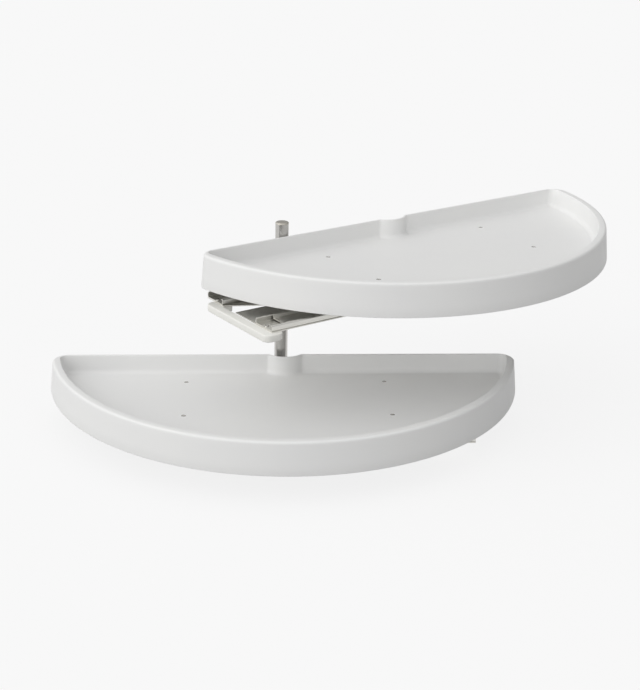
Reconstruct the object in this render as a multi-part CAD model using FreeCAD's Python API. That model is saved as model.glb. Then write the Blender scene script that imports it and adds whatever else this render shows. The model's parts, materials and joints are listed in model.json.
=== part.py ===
"""Two-tier half-moon corner carousel: trays that swing round one pole and slide out on rails.

Millimetres, +Z up. The origin is the centre of the pole's foot, on the cabinet floor. The lower
tray hangs straight, with its flat back edge along X and its round front towards -Y. The upper
tray is swung round the pole and drawn out along its rails, as it stands in the photograph.

Each tier is drawn in its own frame first: the pole is the Z axis, the tray's flat edge runs
along X, and Z = 0 is the bottom of the tray's skirt.
"""
import FreeCAD, Part
import math
import os

# ---------------------------------------------------------------- tray
tray_radius = 390.0            # outer radius of the half moon at the rim
tray_skirt_flare = 5.4         # how much wider the skirt is at its bottom
tray_height = 53.2             # bottom of the skirt to the rim
tray_centre_back = 38.0        # circle's centre lies this far behind the flat edge
tray_floor_top = 20.8          # floor's upper face above the bottom of the skirt
tray_floor_thickness = 3.5
tray_corner_radius = 26.0      # rounding of the two back corners
rim_width = 13.0               # top of the hollow curved wall
skin = 3.5                     # each skin of the curved wall
inner_wall_draft = 2.5         # the basket narrows by this much down to its floor
back_wall = 5.5                # single wall along the flat edge
rim_outer_round = 3.9
rim_inner_round = 1.2
floor_round = 8.0              # hollow between floor and walls
basket_corner_round = 12.0
bulge_radius = 39.5            # round bulge that makes room for the pole
bulge_depth = 12.0             # how far it stands into the basket
bulge_root_round = 9.0
pole_to_tray = 2.4             # gap between the pole and the tray's flat edge
rib_depth = 9.0
rib_thickness = 2.4
rib_places = (-265.0, -95.0, 0.0, 95.0, 265.0)

# ---------------------------------------------------------------- pole and foot
pole_diameter = 22.2
pole_wall = 1.5
pole_top = 326.0               # top of the end cap above the cabinet floor
cap_head = 2.5
cap_stem = 14.0
cap_chamfer = 1.2
flange_diameter = 90.0
flange_thickness = 4.0
flange_round = 1.5
flange_hole = 5.5
flange_hole_circle = 70.0
flange_hole_count = 4
socket_diameter = 32.0
lower_tray_height = 47.0       # bottom of the lower skirt above the cabinet floor
tier_spacing = 205.8           # lower skirt to upper skirt

# ---------------------------------------------------------------- swing hub
hub_outer = 32.0
hub_inner = 26.0
hub_top = -4.0                 # below the skirt, so that the tray passes over it
hub_bottom = -25.5
bush_flange = 1.5
bush_length = 9.0
clip_thickness = 1.2
clip_width = 2.9
clip_groove_depth = 0.5
clip_mouth = 7.4               # gap that lets the clip spring over the pole
washer_thickness = 1.5
collar_height = 10.0
set_screw = 6.0
set_screw_length = 6.0
set_screw_key = 3.0            # hexagon socket, across its flats
set_screw_key_depth = 3.0

# ---------------------------------------------------------------- rails
back_screw_line = 45.5         # tray screws behind: distance from the flat edge
front_screw_line = 181.5       # tray screws in front
screw_half_spacing = 164.4     # tray screws left and right of the pole
back_rail_line = 41.0          # middle of the back slide: distance from the flat edge
front_rail_line = 181.5        # middle of the front slide
rail_left = -161.0             # left end of the fixed rails, from the pole
rail_length = 463.0
rail_width = 45.0
rail_height = 9.5
rail_sheet = 1.5
rail_lip = 3.6
rail_top = -8.5                # top of the fixed rails below the skirt
inner_sheet = 1.2
ball_diameter = 3.2
ball_gap = 2.6                 # between the rails' side walls, less than a ball
cage_thickness = 0.8
outer_cage_height = 5.0
outer_ball_lift = 0.7          # keeps the outer grooves clear of the middle rail's bend
inner_cage_height = 4.4
outer_cage_length = 360.0
inner_cage_length = 226.0
outer_cage_start = 40.0        # from the middle rail's left end
inner_cage_start = 212.0
balls_in_row = 10
middle_floor_drop = 6.2        # middle rail's floor below the top of the fixed rails
tray_rail_left = -178.0        # left end of the tray's rails, from the tray's middle
tray_rail_rise = 1.5           # tray's rails stand this much above the fixed ones
middle_ratio = 0.13            # the middle rails creep after the tray at this share

# ---------------------------------------------------------------- swing plate and cross bar
plate_thickness = 1.5
notch_back = 65.5              # V notches in the plate, from the tray's flat edge
notch_front = 101.5
notch_depth = 67.0
window_left = 84.0
window_right = 226.0
window_back = 78.0
window_front = 150.0
plate_round = 6.0
lug_half_width = 46.0          # plate's lug that reaches back to the pole
lug_radius = 27.0
bar_left = -177.0
bar_width = 34.0
bar_back = 36.5                # from the tray's flat edge
bar_length = 176.0
bar_thickness = 11.5
bar_corner = 12.0
bar_edge = 2.0
bar_recess_back = 65.5         # recess beside the plate's notch, from the tray's flat edge
bar_recess_front = 159.0
bar_recess_round = 4.0
bar_screw_inset = 5.0          # from the rails' left end
bar_under_screw = 2.3          # what is left of the bar under a pilot hole
first_rivet = 125.0            # from the rails' left end
last_rivet = 9.0               # from the rails' right end
rivet_count = 4

# ---------------------------------------------------------------- bearers between rails and tray
bearer_width = 30.0
bearer_foot = 12.0
bearer_sheet = 1.5
bearer_overhang = 5.0

# ---------------------------------------------------------------- fasteners
screw_diameter = 4.0
screw_head = 7.6
screw_head_height = 1.2
screw_cross = 3.4
screw_cross_width = 0.9
pan_head_round = 0.5
pan_cross_depth = 0.7
screw_tip_gap = 0.6            # between a screw's tip and the end of its pilot hole
screw_past_nut = 2.0
nut_across = 7.0
nut_height = 3.2
rivet_diameter = 4.0
rivet_head = 7.0
rivet_head_height = 1.1
rivet_head_round = 0.65
rivet_tail = 6.0
rivet_tail_height = 0.9

# ---------------------------------------------------------------- clearances
running_fit = 0.05             # radial, shaft in bush
slip_fit = 0.1                 # radial, pieces pushed together
part_gap = 0.3                 # between faces that pass each other
ball_play = 0.06               # ball in its groove
hole_play = 0.2                # radial, fastener in its hole
bend_share = 0.8               # outer bend of a rail, as a share of its sheet

# ---------------------------------------------------------------- drawing aids
past = 1.0                     # cutting shapes run this far past the faces they cut
weld = 0.1                     # overlap of two shapes that are joined into one solid
search = 0.05                  # an edge is found this near to where it should be

# ---------------------------------------------------------------- how the tiers stand at rest
lower_swing = 0.0
lower_slide = 6.5
upper_swing = 31.8
upper_slide = 216.6

# ---------------------------------------------------------------- worked out from the above
pole_radius = pole_diameter / 2
edge_y = -(pole_radius + pole_to_tray)
centre_y = edge_y + tray_centre_back
floor_under = tray_floor_top - tray_floor_thickness
upper_tray_height = lower_tray_height + tier_spacing
rail_bottom = rail_top - rail_height
plate_bottom = rail_bottom - plate_thickness
rail_right = rail_left + rail_length
back_rail_y = edge_y - back_rail_line
front_rail_y = edge_y - front_rail_line
bulge_front_y = edge_y - back_wall - bulge_depth
bulge_centre_y = bulge_front_y + bulge_radius
bush_bottom = hub_bottom - bush_flange
bush_top = hub_top + bush_flange
thrust_top = bush_bottom - part_gap
thrust_bottom = thrust_top - washer_thickness
middle_half = rail_width / 2 - rail_sheet - ball_gap
tray_rail_half = middle_half - inner_sheet - ball_gap
middle_floor = rail_top - middle_floor_drop
middle_top = rail_top - slip_fit
tray_rail_top = rail_top + tray_rail_rise
tray_rail_bottom = middle_floor + inner_sheet + part_gap + slip_fit
outer_ball_z = rail_bottom + rail_sheet + part_gap + outer_cage_height / 2 + outer_ball_lift
inner_ball_z = middle_floor + inner_sheet + part_gap + inner_cage_height / 2
fixed_rail_floor = rail_bottom + rail_sheet
rivet_hole = rivet_diameter / 2 + hole_play
screw_hole = screw_diameter / 2 + hole_play
grub_hole = set_screw / 2 + running_fit
pole_low = flange_thickness / 2
pilot_end = plate_bottom - bar_thickness + bar_under_screw
socket_top = lower_tray_height + thrust_bottom
socket_screw_z = (flange_thickness + socket_top) / 2
collar_screw_z = upper_tray_height + thrust_bottom - collar_height / 2


def box(x0, x1, y0, y1, z0, z1):
    """A block between two corners."""
    return Part.makeBox(x1 - x0, y1 - y0, z1 - z0, FreeCAD.Vector(x0, y0, z0))


def rod(radius, x, y, z0, z1):
    """An upright cylinder."""
    return Part.makeCylinder(radius, z1 - z0, FreeCAD.Vector(x, y, z0))


def rod_along_x(radius, x0, x1, y, z):
    """A cylinder that lies along X."""
    return Part.makeCylinder(radius, x1 - x0, FreeCAD.Vector(x0, y, z), FreeCAD.Vector(1, 0, 0))


def upright_edges(shape, wanted):
    """The upright straight edges whose place passes the test."""
    found = []
    for edge in shape.Edges:
        if len(edge.Vertexes) != 2:
            continue
        low, high = edge.Vertexes[0].Point, edge.Vertexes[1].Point
        leaning = math.hypot(low.x - high.x, low.y - high.y)
        if abs(low.z - high.z) > 2 * leaning and wanted(low):
            found.append(edge)
    return found


def drilled(shape, radius, places, z0, z1):
    """The shape with an upright hole at each place, through everything from z0 to z1."""
    for x, y in places:
        shape = shape.cut(rod(radius, x, y, z0 - past, z1 + past))
    return shape


def prism(points, z0, z1):
    """An upright prism on a closed outline of (x, y) points."""
    corners = [FreeCAD.Vector(x, y, z0) for x, y in points + points[:1]]
    return Part.Face(Part.makePolygon(corners)).extrude(FreeCAD.Vector(0, 0, z1 - z0))


def edges_at_height(shape, z):
    """The edges that lie wholly at one height."""
    return [e for e in shape.Edges if max(abs(e.BoundBox.ZMin - z), abs(e.BoundBox.ZMax - z)) < search]


def half_moon(radius_low, radius_high, z0, z1, back_y):
    """A tapered round disc cut off straight along back_y."""
    cone = Part.makeCone(radius_low, radius_high, z1 - z0, FreeCAD.Vector(0, centre_y, z0))
    reach = 2 * radius_low + 2 * radius_high
    return cone.cut(box(-reach, reach, back_y, reach, z0 - past, z1 + past))


def is_back_corner(point):
    """Whether a point is at the tray's far left or right."""
    return abs(point.x) > tray_radius / 2


def tray():
    """One moulded tray: floor, hollow curved wall, straight back wall, bulge and ribs."""
    bottom_radius = tray_radius + tray_skirt_flare
    body = half_moon(bottom_radius, tray_radius, 0, tray_height, edge_y)
    body = body.makeFillet(tray_corner_radius, upright_edges(body, is_back_corner))
    recess = rod(bulge_radius - back_wall, 0, bulge_centre_y, -past, tray_height + past)
    body = body.cut(recess)
    body = body.makeFillet(back_wall, upright_edges(body, lambda p: abs(p.x) < bulge_radius))
    body = body.makeFillet(rim_outer_round, edges_at_height(body, tray_height))

    inner_radius = tray_radius - rim_width
    bulge = rod(bulge_radius, 0, bulge_centre_y, -past, tray_height + past)
    basket_low = inner_radius - inner_wall_draft
    basket = half_moon(basket_low, inner_radius, tray_floor_top, tray_height, edge_y - back_wall)
    basket = basket.cut(bulge)
    basket = basket.makeFillet(basket_corner_round, upright_edges(basket, is_back_corner))
    basket = basket.makeFillet(bulge_root_round, upright_edges(basket, lambda p: abs(p.x) < 2 * bulge_radius))
    basket = basket.makeFillet(floor_round, edges_at_height(basket, tray_floor_top))
    body = body.cut(basket)
    body = body.makeFillet(rim_inner_round, rim_inner_edges(body, inner_radius))

    flare_per_height = tray_skirt_flare / tray_height
    low = bottom_radius - skin
    high = low - flare_per_height * floor_under
    underside = half_moon(low, high, 0, floor_under, edge_y - back_wall)
    corner_inside = tray_corner_radius - skin
    underside = underside.makeFillet(corner_inside, upright_edges(underside, is_back_corner))
    underside = underside.cut(bulge)
    slot_top = tray_height - skin
    slot_high = low - flare_per_height * slot_top
    slot = half_moon(high, slot_high, floor_under, slot_top, edge_y - tray_corner_radius)
    core_low = basket_low + skin
    slot = slot.cut(half_moon(core_low, inner_radius + skin, floor_under, slot_top, edge_y))
    body = body.cut(underside)
    body = body.cut(slot)

    for x in rib_places:
        front_y = centre_y - math.sqrt(basket_low ** 2 - x ** 2)
        back_y = edge_y - back_wall if abs(x) > bulge_radius else bulge_front_y
        half = rib_thickness / 2
        body = body.fuse(box(x - half, x + half, front_y, back_y, floor_under - rib_depth, floor_under))
    body = drilled(body, screw_hole, tray_screw_places(), floor_under, tray_floor_top)
    for x, y in tray_screw_places():
        body = body.cut(countersink(x, y, tray_floor_top, hole_play + part_gap))
    return body.removeSplitter()


def rim_inner_edges(body, inner_radius):
    """The top edges round the basket's mouth."""
    found = []
    for edge in edges_at_height(body, tray_height):
        middle = edge.valueAt((edge.FirstParameter + edge.LastParameter) / 2)
        from_centre = math.hypot(middle.x, middle.y - centre_y)
        on_arc = abs(from_centre - inner_radius) < search
        at_back = middle.y > edge_y - back_wall - basket_corner_round - bulge_depth
        inside = middle.y < edge_y - back_wall + search and from_centre < inner_radius + search
        if on_arc or (at_back and inside):
            found.append(edge)
    return found


def tray_screw_places():
    """Where the tray is screwed down, in the tray's own frame."""
    lines = (edge_y - back_screw_line, edge_y - front_screw_line)
    return [(side * screw_half_spacing, y) for side in (-1, 1) for y in lines]


def countersink(x, y, top, extra):
    """The cone under a flat screw head, with its head flush with top."""
    head = screw_head / 2 + extra
    depth = head - screw_diameter / 2
    return Part.makeCone(screw_diameter / 2, head, depth, FreeCAD.Vector(x, y, top - depth))


def cross_recess(x, y, top, depth):
    """The cross that a driver turns."""
    arm = screw_cross / 2
    half = screw_cross_width / 2
    one = box(x - arm, x + arm, y - half, y + half, top - depth, top + past)
    two = box(x - half, x + half, y - arm, y + arm, top - depth, top + past)
    return one.fuse(two)


def tray_screws():
    """Flat-head screws through the tray's floor and the bearers."""
    top = tray_floor_top - part_gap
    tip = floor_under - bearer_sheet - nut_height - screw_past_nut
    solids = []
    for x, y in tray_screw_places():
        screw = rod(screw_diameter / 2, x, y, tip, top - screw_head_height).fuse(countersink(x, y, top, 0))
        solids.append(screw.cut(cross_recess(x, y, top, screw_head_height)).removeSplitter())
    return solids


def hexagon(across_flats):
    """Corners of a hexagon round the origin."""
    sides = 6
    radius = across_flats / 2 / math.cos(math.pi / sides)
    turns = [2 * math.pi * k / sides for k in range(sides)]
    return [(radius * math.cos(turn), radius * math.sin(turn)) for turn in turns]


def hex_nut(x, y, top):
    """A plain hexagon nut hanging from top."""
    nut = prism([(x + u, y + v) for u, v in hexagon(nut_across)], top - nut_height, top)
    return drilled(nut, screw_diameter / 2 + running_fit, [(x, y)], top - nut_height, top)


def tray_nuts():
    """Nuts on the tray screws, under the bearers."""
    return [hex_nut(x, y, floor_under - bearer_sheet) for x, y in tray_screw_places()]


def rail_channel(x0, length, y, half_width, bottom, top, sheet, lip):
    """A channel that lies open side up, with its lips turned in."""
    x1 = x0 + length
    outer = box(x0, x1, y - half_width, y + half_width, bottom, top)
    along = [e for e in outer.Edges if e.BoundBox.XLength > length - past]
    outer = outer.makeFillet(sheet * bend_share, along)
    inside = half_width - sheet
    ceiling = top - sheet if lip else top + past
    hollow = box(x0 - past, x1 + past, y - inside, y + inside, bottom + sheet, ceiling)
    outer = outer.cut(hollow)
    if lip:
        mouth = half_width - lip
        outer = outer.cut(box(x0 - past, x1 + past, y - mouth, y + mouth, top - sheet - past, top + past))
    return outer


def grooved(rail, x0, length, y, offset, z):
    """Presses a ball groove into a rail on both sides of its centre line."""
    for side in (-1, 1):
        radius = ball_diameter / 2 + ball_play
        rail = rail.cut(rod_along_x(radius, x0 - past, x0 + length + past, y + side * offset, z))
    return rail


def outer_ball_offset():
    """Sideways place of the balls between the fixed and middle rails."""
    return middle_half + ball_gap / 2


def inner_ball_offset():
    """Sideways place of the balls between the middle and tray rails."""
    return tray_rail_half + ball_gap / 2


def rivet_places(y):
    """Rivets that hold a fixed rail to the swing plate."""
    first = rail_left + first_rivet
    last = rail_right - last_rivet
    step = (last - first) / (rivet_count - 1)
    return [(first + k * step, y) for k in range(rivet_count)]


def bar_screw_place(y):
    """Screw that holds the rail's left end to the cross bar."""
    return rail_left + bar_screw_inset, y


def fixed_rail(y):
    """Outer channel of one slide, riveted to the swing plate."""
    half = rail_width / 2
    rail = rail_channel(rail_left, rail_length, y, half, rail_bottom, rail_top, rail_sheet, rail_lip)
    rail = grooved(rail, rail_left, rail_length, y, outer_ball_offset(), outer_ball_z)
    return drilled(rail, rivet_hole, rivet_places(y) + [bar_screw_place(y)], rail_bottom, fixed_rail_floor)


def middle_rail(y):
    """Middle channel of one slide."""
    rail = rail_channel(rail_left, rail_length, y, middle_half, middle_floor, middle_top, inner_sheet, 0)
    rail = grooved(rail, rail_left, rail_length, y, outer_ball_offset(), outer_ball_z)
    return grooved(rail, rail_left, rail_length, y, inner_ball_offset(), inner_ball_z)


def tray_rail(y):
    """Inner channel of one slide, open side down, under the bearers."""
    x0 = tray_rail_left
    x1 = x0 + rail_length
    rail = box(x0, x1, y - tray_rail_half, y + tray_rail_half, tray_rail_bottom, tray_rail_top)
    along = [e for e in edges_at_height(rail, tray_rail_top) if e.BoundBox.XLength > rail_length - past]
    rail = rail.makeFillet(inner_sheet * bend_share, along)
    inside = tray_rail_half - inner_sheet
    under = tray_rail_bottom - past
    rail = rail.cut(box(x0 - past, x1 + past, y - inside, y + inside, under, tray_rail_top - inner_sheet))
    rail = grooved(rail, x0, rail_length, y, inner_ball_offset(), inner_ball_z)
    places = [place for place in bearer_rivet_places() if place[1] == y]
    return drilled(rail, rivet_hole, places, tray_rail_top - inner_sheet, tray_rail_top)


def ball_cage(y):
    """Four strips with their balls: two outer rows and two inner rows of one slide."""
    solids = []
    rows = (
        (outer_cage_start, outer_cage_length, outer_ball_offset(), outer_ball_z, outer_cage_height),
        (inner_cage_start, inner_cage_length, inner_ball_offset(), inner_ball_z, inner_cage_height),
    )
    for start, length, offset, z, height in rows:
        x0 = rail_left + start
        pitch = length / balls_in_row
        for side in (-1, 1):
            row_y = y + side * offset
            half = cage_thickness / 2
            strip = box(x0, x0 + length, row_y - half, row_y + half, z - height / 2, z + height / 2)
            for k in range(balls_in_row):
                centre = FreeCAD.Vector(x0 + (k + 0.5) * pitch, row_y, z)
                strip = strip.cut(Part.makeSphere(ball_diameter / 2 + ball_play, centre))
                solids.append(Part.makeSphere(ball_diameter / 2, centre))
            solids.append(strip)
    return solids


def bearer_centres():
    """The two bearers' middles, left and right."""
    return [-screw_half_spacing, screw_half_spacing]


def bearer_rivet_places():
    """Rivets through the bearers' feet into the tray's rails."""
    reach = bearer_width / 2 + bearer_foot / 2
    feet = [x + side * reach for x in bearer_centres() for side in (-1, 1)]
    return [(x, y) for x in feet for y in (back_rail_y, front_rail_y)]


def bearer(x):
    """Hat-section steel bearer that carries the tray's floor on the two rails."""
    front = front_rail_y - tray_rail_half - bearer_overhang
    back = back_rail_y + tray_rail_half + bearer_overhang
    half = bearer_width / 2
    foot = half + bearer_foot
    outside = box(x - half, x + half, front, back, tray_rail_top, floor_under)
    inside = half - bearer_sheet
    ceiling = floor_under - bearer_sheet
    foot_top = tray_rail_top + bearer_sheet
    hollow = box(x - inside, x + inside, front - past, back + past, tray_rail_top - past, ceiling)
    feet = box(x - foot, x + foot, front, back, tray_rail_top, foot_top)
    shape = outside.fuse(feet).cut(hollow)
    screw_places = [place for place in tray_screw_places() if place[0] == x]
    rivets = [place for place in bearer_rivet_places() if abs(place[0] - x) < foot]
    shape = drilled(shape, screw_hole, screw_places, ceiling, floor_under)
    return drilled(shape, rivet_hole, rivets, tray_rail_top, foot_top).removeSplitter()


def rivet(x, y, low, high):
    """One closed rivet: round head on top, flat tail below."""
    head = rod(rivet_head / 2, x, y, high, high + rivet_head_height)
    head = head.makeFillet(rivet_head_round, edges_at_height(head, high + rivet_head_height))
    tail = rod(rivet_tail / 2, x, y, low - rivet_tail_height, low)
    shank = rod(rivet_diameter / 2, x, y, low - rivet_tail_height, high + weld)
    return shank.fuse(head).fuse(tail).removeSplitter()


def bearer_rivets():
    """Rivets between bearers and tray rails."""
    low = tray_rail_top - inner_sheet
    high = tray_rail_top + bearer_sheet
    return [rivet(x, y, low, high) for x, y in bearer_rivet_places()]


def rail_rivets():
    """Rivets between fixed rails and swing plate."""
    places = rivet_places(back_rail_y) + rivet_places(front_rail_y)
    return [rivet(x, y, plate_bottom, fixed_rail_floor) for x, y in places]


def bar_screws():
    """Low pan-head screws down through rail and plate into the cross bar."""
    solids = []
    head_top = fixed_rail_floor + screw_head_height
    tip = pilot_end + screw_tip_gap
    for y in (back_rail_y, front_rail_y):
        x, place_y = bar_screw_place(y)
        head = rod(screw_head / 2, x, place_y, fixed_rail_floor, head_top)
        head = head.makeFillet(pan_head_round, edges_at_height(head, head_top))
        screw = rod(screw_diameter / 2, x, place_y, tip, fixed_rail_floor + weld).fuse(head)
        recess = cross_recess(x, place_y, head_top, pan_cross_depth)
        solids.append(screw.cut(recess).removeSplitter())
    return solids


def cross_bar():
    """Moulded bar under the left ends of both rails, narrow where the plate's notch is open."""
    top = plate_bottom
    bottom = top - bar_thickness
    right = bar_left + bar_width
    y1 = edge_y - bar_back
    recess_front = edge_y - bar_recess_front
    recess_back = edge_y - bar_recess_back
    bar = box(bar_left, right, y1 - bar_length, y1, bottom, top)
    bar = bar.makeFillet(bar_corner, upright_edges(bar, lambda p: True))
    bar = bar.cut(box(rail_left, right + past, recess_front, recess_back, bottom - past, top + past))
    recess_corners = upright_edges(bar, lambda p: recess_front - search < p.y < recess_back + search)
    bar = bar.makeFillet(bar_recess_round, recess_corners)
    bar = bar.makeFillet(bar_edge, edges_at_height(bar, bottom) + edges_at_height(bar, top))
    for y in (back_rail_y, front_rail_y):
        x, place_y = bar_screw_place(y)
        bar = bar.cut(rod(screw_diameter / 2 + running_fit, x, place_y, pilot_end, top + past))
    return bar


def tangent_point(x, y, radius):
    """Where a line from (x, y) touches a circle round the pole, on its far side."""
    turn = math.atan2(y, x) + math.copysign(math.acos(radius / math.hypot(x, y)), x)
    return radius * math.cos(turn), radius * math.sin(turn)


def swing_plate():
    """Pressed plate under both rails, with a lug that reaches back to the hub."""
    front = front_rail_y - rail_width / 2
    back = back_rail_y + rail_width / 2
    z0, z1 = plate_bottom, rail_bottom
    plate = box(rail_left, rail_right, front, back, z0, z1)
    lug_points = [
        (-lug_half_width, back - past),
        (-lug_half_width, back),
        tangent_point(-lug_half_width, back, lug_radius),
        tangent_point(lug_half_width, back, lug_radius),
        (lug_half_width, back),
        (lug_half_width, back - past),
    ]
    plate = plate.fuse(prism(lug_points, z0, z1)).fuse(rod(lug_radius, 0, 0, z0, z1))
    for end, inward in ((rail_left, 1), (rail_right, -1)):
        notch = [
            (end - inward * past, edge_y - notch_back),
            (end - inward * past, edge_y - notch_front),
            (end + inward * notch_depth, edge_y - notch_front),
        ]
        plate = plate.cut(prism(notch, z0 - past, z1 + past))
    window = box(window_left, window_right, edge_y - window_front, edge_y - window_back, z0 - past, z1 + past)
    window = window.makeFillet(plate_round, upright_edges(window, lambda p: True))
    plate = plate.cut(window)
    plate = drilled(plate, hub_outer / 2, [(0, 0)], z0, z1).removeSplitter()
    for y in (back_rail_y, front_rail_y):
        plate = drilled(plate, rivet_hole, rivet_places(y) + [bar_screw_place(y)], z0, z1)
    return plate


def hub():
    """Steel sleeve through the swing plate."""
    sleeve = rod(hub_outer / 2, 0, 0, hub_bottom, hub_top)
    return drilled(sleeve, hub_inner / 2, [(0, 0)], hub_bottom, hub_top)


def hub_bushes():
    """Flanged bushes, one from below and one from above."""
    bore = pole_radius + running_fit
    solids = []
    for face, outward in ((hub_bottom, -1), (hub_top, 1)):
        flange = sorted((face, face + outward * bush_flange))
        stem = sorted((face, face - outward * bush_length))
        bush = rod(hub_outer / 2, 0, 0, flange[0], flange[1])
        bush = bush.fuse(rod(hub_inner / 2, 0, 0, stem[0], stem[1]))
        low, high = min(flange[0], stem[0]), max(flange[1], stem[1])
        solids.append(drilled(bush, bore, [(0, 0)], low, high).removeSplitter())
    return solids


def clip_heights(tier_height):
    """Bottom and top of the retaining clip over a hub."""
    low = tier_height + bush_top + part_gap
    return low, low + clip_thickness


def retaining_clip(tier_height):
    """Spring clip in the pole's groove, over the hub."""
    low, high = clip_heights(tier_height)
    groove = pole_radius - clip_groove_depth
    ring = drilled(rod(groove + clip_width, 0, 0, low, high), groove + running_fit, [(0, 0)], low, high)
    mouth = box(0, 2 * pole_radius, -clip_mouth / 2, clip_mouth / 2, low - past, high + past)
    return ring.cut(mouth)


def thrust_washer(tier_height):
    """Washer that a hub turns on."""
    low = tier_height + thrust_bottom
    high = low + washer_thickness
    return drilled(rod(hub_outer / 2, 0, 0, low, high), pole_radius + slip_fit, [(0, 0)], low, high)


def radial_hole(radius, z, reach):
    """A hole from the pole out to +Y."""
    return Part.makeCylinder(radius, reach, FreeCAD.Vector(0, pole_radius, z), FreeCAD.Vector(0, 1, 0))


def grub_screw(z):
    """Grub screw with a hexagon socket, pressed on the pole from behind."""
    start = pole_radius + running_fit
    outward = FreeCAD.Vector(0, 1, 0)
    body = Part.makeCylinder(set_screw / 2, set_screw_length, FreeCAD.Vector(0, start, z), outward)
    key_floor = start + set_screw_length - set_screw_key_depth
    corners = hexagon(set_screw_key)
    points = [FreeCAD.Vector(u, key_floor, z + v) for u, v in corners + corners[:1]]
    key = Part.Face(Part.makePolygon(points)).extrude(outward * (set_screw_key_depth + past))
    return body.cut(key)


def support_collar():
    """Collar clamped on the pole under the upper hub."""
    top = upper_tray_height + thrust_bottom
    ring = rod(hub_outer / 2, 0, 0, top - collar_height, top)
    ring = drilled(ring, pole_radius + running_fit, [(0, 0)], top - collar_height, top)
    return ring.cut(radial_hole(grub_hole, collar_screw_z, hub_outer))


def floor_flange():
    """Round foot with a socket for the pole."""
    foot = rod(flange_diameter / 2, 0, 0, 0, flange_thickness)
    foot = foot.makeFillet(flange_round, edges_at_height(foot, flange_thickness))
    foot = foot.fuse(rod(socket_diameter / 2, 0, 0, flange_thickness - weld, socket_top))
    foot = foot.cut(rod(pole_radius + running_fit, 0, 0, pole_low, socket_top + past))
    for k in range(flange_hole_count):
        turn = 2 * math.pi * (k + 0.5) / flange_hole_count
        place = (flange_hole_circle / 2 * math.cos(turn), flange_hole_circle / 2 * math.sin(turn))
        foot = drilled(foot, flange_hole / 2, [place], 0, flange_thickness)
    return foot.cut(radial_hole(grub_hole, socket_screw_z, socket_diameter)).removeSplitter()


def pole():
    """Plated tube with a groove for each retaining clip."""
    high = pole_top - cap_head
    tube = rod(pole_radius, 0, 0, pole_low, high)
    for height in (lower_tray_height, upper_tray_height):
        clip_low, clip_high = clip_heights(height)
        ring = rod(pole_radius + past, 0, 0, clip_low - slip_fit, clip_high + slip_fit)
        tube = tube.cut(drilled(ring, pole_radius - clip_groove_depth, [(0, 0)], clip_low, clip_high))
    return drilled(tube, pole_radius - pole_wall, [(0, 0)], pole_low, high)


def pole_cap():
    """Turned plug in the pole's top end."""
    face = pole_top - cap_head
    head = rod(pole_radius, 0, 0, face, pole_top)
    head = head.makeChamfer(cap_chamfer, edges_at_height(head, pole_top))
    stem = rod(pole_radius - pole_wall - slip_fit, 0, 0, face - cap_stem, face + weld)
    return head.fuse(stem).removeSplitter()


def place_on_tier(shape, tier_height, swing, slide):
    """Moves a piece from its tier's frame to where it stands."""
    moved = shape.copy()
    moved.translate(FreeCAD.Vector(slide, 0, 0))
    moved.rotate(FreeCAD.Vector(0, 0, 0), FreeCAD.Vector(0, 0, 1), swing)
    moved.translate(FreeCAD.Vector(0, 0, tier_height))
    return moved


def save(node, solids):
    """Writes one node as a STEP file, and checks its solids."""
    pieces = []
    for shape in solids:
        pieces.extend(shape.Solids)
    for piece in pieces:
        if not piece.isValid() or piece.Volume <= 0:
            print("bad solid in", node)
    shape = pieces[0] if len(pieces) == 1 else Part.makeCompound(pieces)
    shape.exportStep("parts/" + node + ".step")
    print(node, len(pieces), round(shape.Volume))


def save_tier(name, tier_height, swing, slide):
    """Builds everything that turns with one tier."""
    creep = middle_ratio * slide
    turning = {
        "hub": [hub()],
        "hub_bushes": hub_bushes(),
        "swing_plate": [swing_plate()],
        "fixed_rail_back": [fixed_rail(back_rail_y)],
        "fixed_rail_front": [fixed_rail(front_rail_y)],
        "rail_rivets": rail_rivets(),
        "cross_bar": [cross_bar()],
        "cross_bar_screws": bar_screws(),
    }
    creeping = {
        "middle_rail_back": [middle_rail(back_rail_y)],
        "middle_rail_front": [middle_rail(front_rail_y)],
        "ball_cage_back": ball_cage(back_rail_y),
        "ball_cage_front": ball_cage(front_rail_y),
    }
    sliding = {
        "tray": [tray()],
        "tray_screws": tray_screws(),
        "tray_nuts": tray_nuts(),
        "tray_rail_back": [tray_rail(back_rail_y)],
        "tray_rail_front": [tray_rail(front_rail_y)],
        "bearer_left": [bearer(bearer_centres()[0])],
        "bearer_right": [bearer(bearer_centres()[1])],
        "bearer_rivets": bearer_rivets(),
    }
    for group, travel in ((turning, 0.0), (creeping, creep), (sliding, slide)):
        for node, solids in group.items():
            placed = [place_on_tier(s, tier_height, swing, travel) for s in solids]
            save(name + "_" + node, placed)


def main():
    """Writes every node of the carousel."""
    os.makedirs("parts", exist_ok=True)
    save("floor_flange", [floor_flange()])
    save("pole", [pole()])
    save("pole_cap", [pole_cap()])
    save("upper_support_collar", [support_collar()])
    save("thrust_washers", [thrust_washer(lower_tray_height), thrust_washer(upper_tray_height)])
    save("retaining_clips", [retaining_clip(lower_tray_height), retaining_clip(upper_tray_height)])
    save("grub_screws", [grub_screw(socket_screw_z), grub_screw(collar_screw_z)])
    save_tier("lower", lower_tray_height, lower_swing, lower_slide)
    save_tier("upper", upper_tray_height, upper_swing, upper_slide)


main()
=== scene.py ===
"""Looks of the half-moon corner carousel: moulded trays, plated pole, ball slides and fasteners.

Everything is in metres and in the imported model's own frame: the pole's foot is at the origin, +Z is
up and the lower tray's round front faces -Y. Each tier's pieces are drawn in the tier's own frame,
where the pole is the Z axis and Z = 0 is the bottom of the tray's skirt. The tier's swing and slide
are read from the frame's joints, and its height from the tray's box.
"""
import json
import logging
import math
from dataclasses import dataclass, field
from enum import Enum
from typing import Iterable, Optional, Sequence

import bmesh
import bpy
from mathutils import Matrix, Vector


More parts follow.
